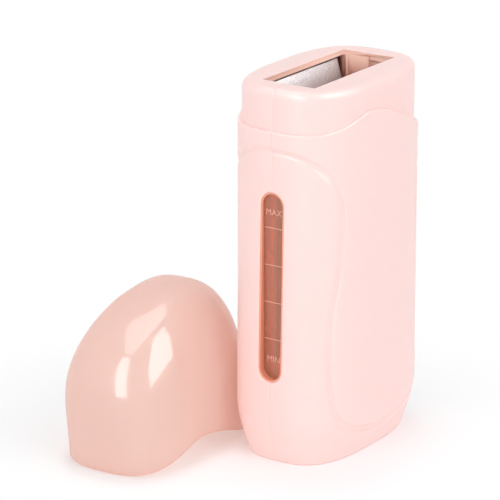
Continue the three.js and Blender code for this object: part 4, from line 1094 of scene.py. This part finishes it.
def cast_metal(name, base):
    material, tree, shader = finish(name, base, 0.5, metallic=1.0)
    place = add(tree, "ShaderNodeTexCoord").outputs["Object"]
    look = {"Vector": place, "Scale": 1 / CAST_GRAIN, "Detail": 4.0, "Roughness": 0.7}
    grain = add(tree, "ShaderNodeTexNoise", look).outputs["Fac"]
    # The tone swings from half to 1.6 times the grey: grain, and painted glints
    tones = {"Factor": grain, "A": tinted(base, 0.5), "B": tinted(base, 1.6)}
    tone = add(tree, "ShaderNodeMix", tones, data_type="RGBA")
    gloss = add(tree, "ShaderNodeMapRange", {"Value": grain, "To Min": 0.7, "To Max": 0.35})
    bump = add(tree, "ShaderNodeBump", {"Height": grain, "Distance": 0.25 * MM, "Strength": 1.0})
    dress_surface(tree, shader, tone.outputs["Result"], gloss.outputs["Result"], bump.outputs["Normal"])
    return material


# Mica flakes pressed to a board. The eye gets thin layers of flakes, dull with a few glints.
MICA_FLAKE = 1.4 * MM
FLAKE_LAYERS = (1, 6, 1)


def pressed_board(name, base):
    material, tree, shader = finish(name, base, 0.6)
    place = add(tree, "ShaderNodeTexCoord").outputs["Object"]
    layers = add(tree, "ShaderNodeMapping", {"Vector": place, "Scale": FLAKE_LAYERS}).outputs["Vector"]
    cells = add(tree, "ShaderNodeTexVoronoi", {"Vector": layers, "Scale": 1 / MICA_FLAKE})
    flakes = cells.outputs["Distance"]
    tones = {"Factor": flakes, "A": tinted(base, 0.8), "B": tinted(base, 1.12)}
    tone = add(tree, "ShaderNodeMix", tones, data_type="RGBA")
    gloss = add(tree, "ShaderNodeMapRange", {"Value": flakes, "To Min": 0.4, "To Max": 0.75})
    bump = add(tree, "ShaderNodeBump", {"Height": flakes, "Distance": 0.02 * MM, "Strength": 1.0})
    dress_surface(tree, shader, tone.outputs["Result"], gloss.outputs["Result"], bump.outputs["Normal"])
    return material


# Solder mask over etched copper. The eye gets a glossy green with the tracks as a paler grid.
TRACK_PITCH = 9 * MM


def circuit_green(name):
    material, tree, shader = finish(name, linear("1F5A33"), 0.35)
    look = {
        "Vector": add(tree, "ShaderNodeTexCoord").outputs["Object"],
        "Scale": 1 / TRACK_PITCH,
        "Color1": rgba(linear("1B5230")),
        "Color2": rgba(linear("236239")),
        "Mortar": rgba(linear("4C8F58")),
        "Mortar Size": 0.05,
    }
    tracks = add(tree, "ShaderNodeTexBrick", look)
    relief = {"Height": tracks.outputs["Fac"], "Distance": 0.03 * MM, "Strength": 1.0}
    bump = add(tree, "ShaderNodeBump", relief)
    dress_surface(tree, shader, tracks.outputs["Color"], None, bump.outputs["Normal"])
    return material


def build_materials(p):
    """All finishes, by record slot or by use."""
    steel, zinc, brass = linear("A9ABAD"), linear("C2C4C6"), linear("C9A24E")
    return {
        # ABS from a polished mould: pale pink, satin, and a little soft where light enters it
        "shell": moulded(
            "satin_pink_abs",
            p.shell,
            0.36,
            specular_ior_level=0.4,
            subsurface_weight=0.5,
            subsurface_radius=(1.0, 0.7, 0.6),
            subsurface_scale=2 * MM,
        ),
        # The same ABS from the mould's unpolished core: duller, and deeper in tone as a painted glow of
        # light through and between the walls
        "shell_inside_painted_glow": moulded("unpolished_pink_abs_painted_glow", p.inside, 0.5, specular_ior_level=0.15),
        "cap": translucent_dome("polished_tinted_styrene", p.cap, 0.6),
        # The same dome at its rim, with a painted glow: a deeper tint and less light through, standing for
        # the tint that gathers as light leaves the rim edge on
        "cap_rim_painted_glow": translucent_dome("polished_tinted_styrene_rim_painted_glow", p.cap_rim_painted_glow, 0.3),
        # Glass-filled nylon, moulded: matt and dull, in a salmon tone that is a painted glow of the light
        # in the mouth
        "well": moulded("pink_glass_filled_nylon_painted_glow", p.well, 0.5, specular_ior_level=0.15),
        # Cast acrylic, polished: clear and brown-pink, with the well's ledges faint behind it
        "window": moulded(
            "clear_tinted_acrylic", p.window, 0.04, depth=0.0005 * MM, transmission_weight=0.76
        ),
        # The same acrylic at its edges, with a painted glow: a bright orange standing for the tint that
        # gathers as light leaves them
        "window_edge": moulded("tinted_acrylic_edge_painted_glow", p.window_edge, 0.2),
        # Pad-printed ink: a flat pale line with no gloss of its own
        "mark": moulded("pale_pad_print", p.mark, 0.5),
        "cast_plate": cast_metal("sand_cast_aluminium", p.plate),
        "spring": sheet_metal("drawn_spring_wire", steel, 0.3, (6, 1, 6)),
        "zinc_steel": sheet_metal("zinc_plated_steel", zinc, 0.38),
        "brass": sheet_metal("rolled_brass", brass, 0.32),
        # Fired and unglazed: a dry grey with a grain that can be felt
        "ceramic": moulded("fired_grey_ceramic", linear("6D6F73"), 0.7, 0.2 * MM, 0.02 * MM),
        # Cast polyimide film: glossy, and amber that lets some light through
        "film": moulded("amber_polyimide_film", linear("B9761F"), 0.25, transmission_weight=0.3),
        "mica": pressed_board("pressed_mica", linear("CFC3A4")),
        # Moulded in a sparked mould: near black, its gloss broken by a fine texture
        "black_plastic": moulded("black_textured_nylon", linear("1F1F21"), 0.5, 0.25 * MM, 0.02 * MM),
        # Filled nylon, moulded: an off-white, dull and a little greasy to look at
        "white_nylon": moulded("white_filled_nylon", linear("E9E6DF"), 0.5),
        "board": circuit_green("green_solder_mask"),
        # Cast resin: clear red with a soft highlight
        "lamp": moulded("clear_red_cast_resin", linear("D4261C"), 0.1, transmission_weight=0.6),
        # Moulded epoxy: near black with a soft gloss
        "diode": moulded("black_moulded_epoxy", linear("2A2A2C"), 0.35, 0.25 * MM, 0.01 * MM),
        # Dipped lacquer: tan, with a soft gloss
        "bead": moulded("tan_dipped_lacquer", linear("D8B98A"), 0.4),
        # Extruded vinyl: plain strong colours with a dull gloss along the wire
        "lead_red": moulded("red_extruded_vinyl", linear("B3261E"), 0.45),
        "lead_blue": moulded("blue_extruded_vinyl", linear("2A4D9B"), 0.45),
    }


MATERIALS = {}


# Operators


class WARMER_OT_materials(bpy.types.Operator):
    """Make every finish"""

    bl_idname = "warmer.materials"
    bl_label = "Finishes"

    def execute(self, context):
        MATERIALS.update(build_materials(context.scene.warmer_colours))
        return {"FINISHED"}


SKIN_LAP = 0.2 * MM  # of the frame's inner features into the fine outer skin


class WARMER_OT_shells(bpy.types.Operator):
    """Build the two shells of the housing, with the shoulder, the panel line and every opening"""

    bl_idname = "warmer.shells"
    bl_label = "Shells"

    def execute(self, context):
        s, o = context.scene.warmer_housing, context.scene.warmer_openings
        outside = skin("outside", outer_rings(s))
        inner = core_solid(s, s.skin_depth)
        zone = core_solid(s, s.skin_depth - SKIN_LAP)
        for side, node in ((-1, "front_shell"), (1, "rear_shell")):
            mesh = fine_shell(s, o, side, node, outside, inner, zone)
            piece = settle(link(f"{node}_skin", mesh, MATERIALS["shell"]), [node])
            paint_inside_glow(s, o, piece.data)
        return {"FINISHED"}


class WARMER_OT_cap(bpy.types.Operator):
    """Build the dome, standing beside the housing on the low ends of its rim"""

    bl_idname = "warmer.cap"
    bl_label = "Cap"

    def execute(self, context):
        mesh = cap_mesh(context.scene.warmer_housing, context.scene.warmer_cap)
        settle(link("cap_dome", mesh), ["cap"], "cap")
        return {"FINISHED"}


LENS_EDGE = 0.35 * MM
FACING_OUT = -0.85  # the normal's X, past which a face of the lens is its flat front
LIP_BACK = 0.02 * MM  # from the lip to the lens's front


class WARMER_OT_window(bpy.types.Operator):
    """Build the sight window, with its level marks and the words at its two ends"""

    bl_idname = "warmer.window"
    bl_label = "Sight window"

    def execute(self, context):
        s, w = context.scene.warmer_housing, context.scene.warmer_window
        middle, half = w.bottom + w.height / 2, w.height / 2

        def ring(x, grown):
            shape = rounded_outline(w.half_width, half, middle, w.half_width * ROUND_END, grown)
            return np.column_stack([np.full(len(shape), x), shape])

        edge = LENS_EDGE
        rings = [ring(w.face + edge * down, -FIT - edge * inward) for inward, down in reversed(ROUND)]
        rings += [ring(w.flange_face, -FIT), ring(w.flange_face, w.flange_wide)]
        rings.append(ring(w.back, w.flange_wide))
        glass = soften(skin("level_window", rings), 35)
        glass.materials.append(MATERIALS["window"])
        glass.materials.append(MATERIALS["window_edge"])
        # Faces turned from the front take the edge finish, a painted orange glow
        for face in glass.polygons:
            turned_away = face.normal.x > FACING_OUT
            face.material_index = int(turned_away and face.center.x < w.flange_face)
        settle(link("window_lens", glass), ["level_window"])

        def lining(grown, low, high):
            shape = rounded_outline(w.half_width, half, middle, w.half_width * ROUND_END, grown)
            return prism("lip", shape, low, high, "X")

        outer = lining(-w.lip_gap, -s.height, w.face - LIP_BACK)
        lip = combine(outer, lining(-w.lip_gap - w.lip_wide, -2 * s.height, 0), "DIFFERENCE")
        lip = soften(combine(lip, core_solid(s, w.lip_sunk), "INTERSECT"), 35)
        # The lip that lines the slot carries the edge finish's painted orange glow
        settle(link("window_lip", lip, MATERIALS["window_edge"]), [])

        low, high = (-w.mark_proud, -w.mark_half, -w.mark_thick / 2), (0, w.mark_half, w.mark_thick / 2)
        stamp = link("mark", block("mark", low, high))
        marks = grow(
            "window_marks",
            row_tree(),
            bpy.data.meshes.new("marks"),
            {
                "Piece": stamp,
                "Count": w.marks,
                "First": (w.face, 0, w.first_mark),
                "Step": (0, 0, -w.mark_step),
                "Finish": MATERIALS["mark"],
            },
        )
        bpy.data.objects.remove(stamp)
        settle(link("window_marks", marks), [])
        words = (("window_max", "MAX", w.word_top), ("window_min", "MIN", w.word_bottom))
        for name, word, height in words:
            letters = bpy.data.curves.new(name, "FONT")
            letters.body, letters.size, letters.extrude = word, w.word_size, w.mark_proud
            letters.align_x, letters.align_y = "CENTER", "CENTER"
            holder = link(name, letters)
            depsgraph = bpy.context.evaluated_depsgraph_get()
            mesh = bpy.data.meshes.new_from_object(holder.evaluated_get(depsgraph))
            bpy.data.objects.remove(holder)
            facing = Matrix(((0, 0, -1, w.face), (-1, 0, 0, 0), (0, 1, 0, height), (0, 0, 0, 1)))
            mesh.transform(facing)
            settle(link(name, face_outward(mesh), MATERIALS["mark"]), [])
        return {"FINISHED"}


def dress(node, mesh, slot, degrees=35, body="root", material=None):
    """A finished piece for one CAD node."""
    piece = link(f"{node}_finished", soften(mesh, degrees), material or MATERIALS[slot])
    return settle(piece, [node], body)


class WARMER_OT_well(bpy.types.Operator):
    """Build the cartridge well, the heating plate in it and the board between it and the rear shell"""

    bl_idname = "warmer.well"
    bl_label = "Well and plate"

    def execute(self, context):
        # The well's salmon finish is a painted glow
        dress("cartridge_well", eased_copy("cartridge_well", 0.22 * MM, 2), "well")
        dress("heating_plate", eased_copy("heating_plate", 0.3 * MM, 3), "cast_plate")
        dress("heat_shield", eased_copy("heat_shield", 0.1 * MM, 2), "mica")
        return {"FINISHED"}


# Each node of the heater with its finish and the easing of its edges in millimetres
HEATER_PIECES = (
    ("heater_insulator", "film", 0.08),
    ("inner_electrode", "brass", 0.08),
    ("ptc_heater", "ceramic", 0.3),
    ("outer_electrode", "brass", 0.08),
    ("heater_backing", "mica", 0.15),
    ("heater_clamp", "zinc_steel", 0.2),
    ("thermostat", "black_plastic", 0.2),
    ("thermostat_clip", "zinc_steel", 0.18),
)

# Turned pieces as radius and distance along their axis in millimetres, and where they stand
FUSE_PROFILE = [(0.5, -9.5), (0.5, -6.4), (1.6, -6.1), (2.0, -5.5), (2.0, -4.7), (1.9, -4.6), (1.9, -4.3)]
FUSE_PROFILE += [(2.0, -4.2), (2.0, 5.1), (1.7, 5.5), (0.9, 6.2), (0.5, 6.4), (0.5, 9.5)]
FUSE_PLACE, FUSE_ROUNDING = (16, 14.5, 53), 0.25
LENS_PROFILE = [(0.05, 0), (1.74, 0), (1.8, 0.05), (1.8, 0.72), (1.52, 0.75), (1.5, 0.9), (1.5, 4.5)]
LENS_PROFILE += [(1.38, 5.05), (1.15, 5.45), (0.85, 5.75), (0.45, 5.95), (0.05, 6)]
LENS_PLACE = (-32.5, 0, 23.9)
HALF_BEAD = [(1.05, 1.4), (1.1, 2.0), (1.2, 2.5), (1.15, 2.9), (0.8, 3.2), (0.3, 3.3), (0.3, 5.75)]
BEAD_PLACE = (-16, 4.6, 25.1)
HALF_ROD = [(1.2, 3.0), (1.05, 3.2), (0.3, 3.2), (0.3, 5.75)]
ROD_PLACE = (-16, -4.6, 25.1)
PIN_PROFILE = [(0.05, 0), (1.05, 0), (1.18, 0.13), (1.18, 14.02), (1.1, 14.45)]
PIN_PROFILE += [(0.9, 14.85), (0.6, 15.1), (0.05, 15.2)]
PIN_START, PIN_OFFSET, PIN_HEIGHT = 20.2, 4.3, 17


def both_ways(half):
    """A profile that is the same either way from its middle."""
    return [(radius, -along) for radius, along in reversed(half)] + half


class WARMER_OT_heater(bpy.types.Operator):
    """Build the heater stack, its clamp, the thermostat with its clip and the fuse"""

    bl_idname = "warmer.heater"
    bl_label = "Heater"

    def execute(self, context):
        for node, slot, edge in HEATER_PIECES:
            dress(node, eased_copy(node, edge * MM), slot)
        fuse = lathe("fuse", rounded(FUSE_PROFILE, FUSE_ROUNDING), "Z", FUSE_PLACE, True)
        dress("thermal_fuse", fuse, "zinc_steel")
        return {"FINISHED"}


class WARMER_OT_press(bpy.types.Operator):
    """Build the plate that presses the cartridge on the heating plate, and its two springs"""

    bl_idname = "warmer.press"
    bl_label = "Pressure plate"

    def execute(self, context):
        p = context.scene.warmer_press
        plate = eased_copy("pressure_plate", 0.25 * MM)
        dress("pressure_plate", plate, "white_nylon", body="pressure_pad")
        coil = coil_tree()
        for node, height in (("plate_spring_lower", p.lower), ("plate_spring_upper", p.upper)):
            mesh = grow(
                node,
                coil,
                bpy.data.meshes.new(node),
                {
                    "Turns": p.turns,
                    "Radius": p.radius,
                    "Wire": p.wire,
                    "Length": p.long,
                    "Start": (0, p.start, height),
                    "Finish": MATERIALS["spring"],
                },
            )
            piece = settle(link(f"{node}_coil", soften(mesh, 60)), [node])
            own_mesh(piece)
        return {"FINISHED"}


class WARMER_OT_board(bpy.types.Operator):
    """Build the lamp's board under the well, with its resistor, diode and lamp"""

    bl_idname = "warmer.board"
    bl_label = "Lamp board"

    def execute(self, context):
        dress("circuit_board", eased_copy("circuit_board", 0.12 * MM), "board")
        dress("indicator_lamp", lathe("lamp", LENS_PROFILE, "Z", LENS_PLACE), "lamp")
        bead = lathe("resistor", both_ways(HALF_BEAD), "X", BEAD_PLACE, sides=32)
        dress("lamp_resistor", bead, "bead")
        rod = lathe("diode", both_ways(HALF_ROD), "X", ROD_PLACE, sides=32)
        dress("lamp_diode", rod, "black_plastic", material=MATERIALS["diode"])
        return {"FINISHED"}


class WARMER_OT_inlet(bpy.types.Operator):
    """Build the two-pin power inlet in the far narrow side"""

    bl_idname = "warmer.inlet"
    bl_label = "Power inlet"

    def execute(self, context):
        dress("power_inlet", eased_copy("power_inlet", 0.2 * MM, 3), "black_plastic")
        for node, side in (("inlet_pin_live", 1), ("inlet_pin_neutral", -1)):
            place = (PIN_START, side * PIN_OFFSET, PIN_HEIGHT)
            dress(node, lathe(node, PIN_PROFILE, "X", place, sides=40), "brass")
        return {"FINISHED"}


# Each row of screws, in millimetres: its axis and whether it is turned round, then its shank's
# radius, length, head's radius and height and pitch, the first seat, the step and the nodes
SCREW_ROWS = {
    "shell_screws": (
        ("Y", True),
        (1.0, 17, 2.7, 1.7, 1.2),
        (-15, 11.3, 15.5),
        (30, 0, 0),
        ["shell_screw_left", "shell_screw_right"],
    ),
    "clamp_screws": (
        ("Y", True),
        (1.0, 5, 2.7, 1.7, 1.0),
        (-19.5, 19.0, 84),
        (39, 0, 0),
        ["clamp_screw_left", "clamp_screw_right"],
    ),
    "clip_screws": (("Y", True), (1.0, 5, 2.7, 1.7, 1.0), (-2.8, 17.5, 56), (0, 0, 0), ["clip_screw"]),
    "board_screws": (
        ("Z", False),
        (0.54, 6, 1.9, 1.4, 0.8),
        (-24, 0, 21.7),
        (16, 0, 0),
        ["board_screw_left", "board_screw_right"],
    ),
}


class WARMER_OT_screws(bpy.types.Operator):
    """Set every screw on its seat"""

    bl_idname = "warmer.screws"
    bl_label = "Screws"

    def execute(self, context):
        rows = row_tree()
        for name, (way, sizes, first, step, nodes) in SCREW_ROWS.items():
            screw = link(name, pan_screw(name, *way, *sizes))
            mesh = grow(
                name,
                rows,
                bpy.data.meshes.new(name),
                {
                    "Piece": screw,
                    "Count": len(nodes),
                    "First": Vector(first) * MM,
                    "Step": Vector(step) * MM,
                    "Finish": MATERIALS["zinc_steel"],
                },
            )
            bpy.data.objects.remove(screw)
            settle(link(f"{name}_row", soften(mesh, 30)), nodes)
        return {"FINISHED"}


LEAD_RADIUS, LAMP_LEAD_RADIUS = 0.75 * MM, 0.5 * MM


def stepped(base, *steps):
    return [tuple(np.array(base, float) + step) for step in steps]


def lead_routes():
    """The points of each lead in millimetres, in steps from the ends that it joins."""
    live, neutral = (19.9, 4.3, 17), (19.9, -4.3, 17)
    fuse_foot, fuse_head = (16, 14.5, 43.2), (16, 14.5, 62.8)
    low_tab, high_tab = (4, 14.35, 45.2), (4, 14.35, 66.8)
    inner, outer = (-8.1, 13.2, 70.2), (8.1, 16.2, 70.2)
    return {
        "live_lead": stepped(live, (0, 0, 0), (-0.7, 0, 0), (-1.1, 0.9, 2.6), (-2.2, 4.5, 6.4))
        + [(17.2, 16.9, 26.5), (16.6, 17.5, 31.5)]
        + stepped(fuse_foot, (0, 1.4, -3.2), (0, 0, 0)),
        "neutral_lead": stepped(neutral, (0, 0, 0), (-1.5, 0, 0), (-2.6, 0, 2.6), (-6.9, 3.3, 3.9))
        + stepped(neutral, (-12.9, 10.3, 4.3), (-18.9, 17.8, 6))
        + [(-9.1, 17.6, 27.5), (-15.6, 18.2, 37)]
        + stepped(inner, (-8.2, 4, -16.2), (-4, 2.4, -3.7), (0, 0.6, -1.3), (0, 0, 0)),
        "fuse_lead": stepped(fuse_head, (0, 0, 0), (-0.2, 0.6, 2.5), (-3, 2.2, 4), (-5.5, 3.4, -5.8))
        + stepped(fuse_head, (-6, 2.6, -15.3))
        + stepped(low_tab, (3, 0.6, -4.2), (0, 0, -1.7), (0, 0, 0)),
        "heater_lead": stepped(high_tab, (0, 0, 0), (0, 0, 0.9)) + stepped(outer, (0, 0, -1.2), (0, 0, 0)),
        "lamp_live_lead": lamp_route(1),
        "lamp_neutral_lead": lamp_route(-1),
    }


def lamp_route(side):
    pin, edge = (21.3, side * 4.3, 18.48), (-3.7, side * 4.3, 22.8)
    route = stepped(pin, (0, 0, 0), (-0.2, 0, 2), (-3, side * 0.6, 6.72))
    return route + stepped(edge, (12.3, side, 3.4), (2.7, 0, 1.4), (0, 0, 0))


class WARMER_OT_leads(bpy.types.Operator):
    """Lay every inner lead along its route"""

    bl_idname = "warmer.leads"
    bl_label = "Inner leads"

    def execute(self, context):
        tree = lead_tree()
        for node, route in lead_routes().items():
            slot = "lead_blue" if "neutral" in node else "lead_red"
            radius = LAMP_LEAD_RADIUS if node.startswith("lamp") else LEAD_RADIUS
            values = {"Radius": radius, "Finish": MATERIALS[slot]}
            mesh = grow(node, tree, smooth_curve(node, route), values)
            settle(link(f"{node}_wire", soften(mesh, 50)), [node])
        return {"FINISHED"}


def seen_rays(tree):
    """1 for rays from the camera, and for those by way of gloss or clear plastic."""
    path = add(tree, "ShaderNodeLightPath")
    gloss = add(
        tree,
        "ShaderNodeMath",
        {0: path.outputs["Is Camera Ray"], 1: path.outputs["Is Glossy Ray"]},
        operation="MAXIMUM",
    )
    every = {0: gloss.outputs[0], 1: path.outputs["Is Transmission Ray"]}
    return add(tree, "ShaderNodeMath", every, operation="MAXIMUM").outputs[0]


# The floor, as linear shares of white and in metres
PAPER_WHITE = (0.93, 0.93, 0.93)  # towards the object
PAPER_SEEN = (0.82, 0.84, 0.85)  # towards the camera
PAPER_LIFT = 0.15
SHADOW_MIDDLE = (-0.03, 0.02)
SHADOW_REACH = (0.06, 0.16)  # from the middle, where the shadow starts to fade and where it ends


# Matt coated paper. The eye gets a plain white sheet that keeps the contact shadow and turns to
# clear white away from it.
def white_paper():
    material, tree, shader = finish("matt_white_paper", PAPER_WHITE, 0.9, specular_ior_level=0.2)
    place = add(tree, "ShaderNodeTexCoord").outputs["Object"]
    flat = add(tree, "ShaderNodeVectorMath", {0: place, 1: (1, 1, 0)}, operation="MULTIPLY").outputs[0]
    middle = {0: flat, 1: (*SHADOW_MIDDLE, 0)}
    centred = add(tree, "ShaderNodeVectorMath", middle, operation="SUBTRACT").outputs[0]
    reach = add(tree, "ShaderNodeVectorMath", {0: centred}, operation="LENGTH").outputs["Value"]
    far = add(
        tree,
        "ShaderNodeMapRange",
        {"Value": reach, "From Min": SHADOW_REACH[0], "From Max": SHADOW_REACH[1], "To Min": 0.0},
        interpolation_type="SMOOTHSTEP",
    ).outputs["Result"]
    faded = add(tree, "ShaderNodeMath", {0: far, 1: seen_rays(tree)}, operation="MULTIPLY").outputs[0]
    glow = add(tree, "ShaderNodeEmission", {"Color": (1, 1, 1, 1), "Strength": 1.0})
    raised = {0: seen_rays(tree), 1: PAPER_LIFT}
    strength = add(tree, "ShaderNodeMath", raised, operation="MULTIPLY").outputs[0]
    lift = add(tree, "ShaderNodeEmission", {"Color": (1, 1, 1, 1), "Strength": strength})
    tones = {"Factor": seen_rays(tree), "A": rgba(PAPER_WHITE), "B": rgba(PAPER_SEEN)}
    paper = add(tree, "ShaderNodeMix", tones, data_type="RGBA")
    tree.links.new(paper.outputs["Result"], shader.inputs["Base Color"])
    near = add(tree, "ShaderNodeAddShader", {0: shader.outputs[0], 1: lift.outputs[0]})
    mix = add(tree, "ShaderNodeMixShader", {0: faded, 1: near.outputs[0], 2: glow.outputs[0]})
    tree.links.new(mix.outputs[0], tree.nodes["Material Output"].inputs["Surface"])
    return material


# Softboxes as the cap's gloss shows them: corners as azimuth and elevation in degrees from a
# middle in the cap, and a strength
SOFTBOX_MIDDLE, SOFTBOX_REACH = (-0.07, 0.035, 0.045), 1.1
SOFTBOXES = {
    "strip_softbox": ([(-135, 59), (-101, 65), (-68, 2), (-96, -1)], 8.0),
    "front_softbox": ([(43, 61), (39, 30), (35, 15), (22, 15), (-8, 9), (-14, 35), (-4, 79)], 8.0),
    "overhead_softbox": ([(140, 59), (80, 75), (-110, 69), (-144, 62), (175, 57), (161, 55)], 4.5),
}


def outward(azimuth, elevation):
    """The way from the object at two angles in degrees, where azimuth 0 is towards -Y."""
    a, e = math.radians(azimuth), math.radians(elevation)
    return Vector((math.sin(a) * math.cos(e), -math.cos(a) * math.cos(e), math.sin(e)))


def softbox(name, corners, strength):
    """A glowing panel that only gloss can see, so that it lends a highlight and no extra light."""
    places = [Vector(SOFTBOX_MIDDLE) + outward(*corner) * SOFTBOX_REACH for corner in corners]
    mesh = bpy.data.meshes.new(name)
    mesh.from_pydata(places, [], [tuple(range(len(places)))])
    material, tree, _ = finish(f"{name}_cloth", (1, 1, 1), 1.0)
    glow = add(tree, "ShaderNodeEmission", {"Color": (1, 1, 1, 1), "Strength": strength})
    tree.links.new(glow.outputs[0], tree.nodes["Material Output"].inputs["Surface"])
    panel = link(name, mesh, material)
    panel.visible_diffuse = panel.visible_transmission = panel.visible_shadow = False
    panel.visible_camera = panel.visible_volume_scatter = False
    return panel


FLOOR_HALF = 3  # metres
SEEN_WORLD, WORLD_LIGHT = 1.0, 0.68

# Each lamp in metres and watts: its place, its width and height, and its power
LAMP_AIM = (-0.02, 0.01, 0.075)
LAMPS = {
    "front": ((-0.15, -1.0, 0.45), (0.6, 0.6), 2.9),
    "side": ((-1.05, 0.1, 0.5), (0.6, 0.6), 2.2),
    "low": ((-1.1, -0.1, 0.12), (0.6, 0.2), 1.0),
    "top": ((0.1, 0.15, 1.2), (0.3, 0.3), 2.2),
}
BOUNCES, DIFFUSE_BOUNCES = 16, 10  # the mouth and the dome pass light on many times

# The camera, as fitted to the photograph: its angles in degrees, its distance, what it looks at
# as an offset in its own picture from the middle of the housing, and its focal length in pixels
CAMERA_AZIMUTH, CAMERA_ELEVATION = -55.606, 17.97
CAMERA_DISTANCE = 1176.9 * MM
CAMERA_MIDDLE, CAMERA_OFFSET = (0, 0, 0.075), (-30.47 * MM, 1.551 * MM)
FOCAL_PIXELS, PICTURE_PIXELS, SENSOR = 3010.3, 500, 36
CLIP = (0.05, 20)


class WARMER_OT_stage(bpy.types.Operator):
    """Set the floor, the lights, the world and the camera"""

    bl_idname = "warmer.stage"
    bl_label = "Stage"

    def execute(self, context):
        scene = context.scene
        floor_mesh = bpy.data.meshes.new("floor")
        ends = ((-1, -1), (1, -1), (1, 1), (-1, 1))
        floor_mesh.from_pydata([(x * FLOOR_HALF, y * FLOOR_HALF, 0) for x, y in ends], [], [(0, 1, 2, 3)])
        staged = [link("floor", floor_mesh, white_paper())]
        staged += [softbox(name, *panel) for name, panel in SOFTBOXES.items()]
        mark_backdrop(*staged)

        world = scene.world or bpy.data.worlds.new("World")
        scene.world = world
        world.use_nodes = True
        tree = world.node_tree
        tree.nodes.clear()
        seen = add(tree, "ShaderNodeBackground", {"Color": (1, 1, 1, 1), "Strength": SEEN_WORLD})
        light = add(tree, "ShaderNodeBackground", {"Color": (1, 1, 1, 1), "Strength": WORLD_LIGHT})
        either = {0: seen_rays(tree), 1: light.outputs[0], 2: seen.outputs[0]}
        mix = add(tree, "ShaderNodeMixShader", either)
        add(tree, "ShaderNodeOutputWorld", {"Surface": mix.outputs[0]})

        for name, (place, size, power) in LAMPS.items():
            lamp = bpy.data.lights.new(name, "AREA")
            lamp.shape, lamp.size, lamp.size_y, lamp.energy = "RECTANGLE", *size, power
            holder = bpy.data.objects.new(name, lamp)
            scene.collection.objects.link(holder)
            holder.location = Vector(place)
            way = Vector(LAMP_AIM) - holder.location
            holder.rotation_euler = way.to_track_quat("-Z", "Y").to_euler()
            holder.visible_glossy = False

        back = outward(CAMERA_AZIMUTH, CAMERA_ELEVATION)
        right = outward(CAMERA_AZIMUTH + 90, 0)
        centre = Vector(CAMERA_MIDDLE) + right * CAMERA_OFFSET[0] + back.cross(right) * CAMERA_OFFSET[1]
        camera = bpy.data.objects.new("camera", bpy.data.cameras.new("camera"))
        scene.collection.objects.link(camera)
        camera.data.sensor_width = SENSOR
        camera.data.lens = SENSOR * FOCAL_PIXELS / PICTURE_PIXELS
        camera.location = centre + back * CAMERA_DISTANCE
        camera.rotation_euler = (-back).to_track_quat("-Z", "Y").to_euler()
        camera.data.clip_start, camera.data.clip_end = CLIP
        scene.camera = camera
        scene.view_settings.view_transform = "Standard"
        scene.cycles.max_bounces, scene.cycles.diffuse_bounces = BOUNCES, DIFFUSE_BOUNCES
        return {"FINISHED"}


STEPS = (
    WARMER_OT_materials,
    WARMER_OT_shells,
    WARMER_OT_cap,
    WARMER_OT_window,
    WARMER_OT_well,
    WARMER_OT_heater,
    WARMER_OT_press,
    WARMER_OT_board,
    WARMER_OT_inlet,
    WARMER_OT_screws,
    WARMER_OT_leads,
    WARMER_OT_stage,
)


class WARMER_PT_panel(bpy.types.Panel):
    """The steps of the build, in order"""

    bl_idname = "WARMER_PT_panel"
    bl_label = "Wax warmer"
    bl_space_type = "VIEW_3D"
    bl_region_type = "UI"
    bl_category = "Warmer"

    def draw(self, context):
        for step in STEPS:
            self.layout.operator(step.bl_idname)


GROUPS = {
    "warmer_housing": HousingSizes,
    "warmer_openings": OpeningSizes,
    "warmer_window": WindowSizes,
    "warmer_press": PressSizes,
    "warmer_cap": CapSizes,
    "warmer_colours": Colours,
}


def register():
    for group in GROUPS.values():
        bpy.utils.register_class(group)
    for name, group in GROUPS.items():
        setattr(bpy.types.Scene, name, PointerProperty(type=group))
    for step in (*STEPS, WARMER_PT_panel):
        bpy.utils.register_class(step)


def unregister():
    for step in reversed((*STEPS, WARMER_PT_panel)):
        bpy.utils.unregister_class(step)
    for name in GROUPS:
        delattr(bpy.types.Scene, name)
    for group in reversed(GROUPS.values()):
        bpy.utils.unregister_class(group)


def corners():
    return [[float(v) for v in corner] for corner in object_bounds()]


def main():
    register()
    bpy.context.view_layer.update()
    for step in STEPS:
        area, name = step.bl_idname.split(".")
        getattr(getattr(bpy.ops, area), name)()


if __name__ == "__main__":
    main()
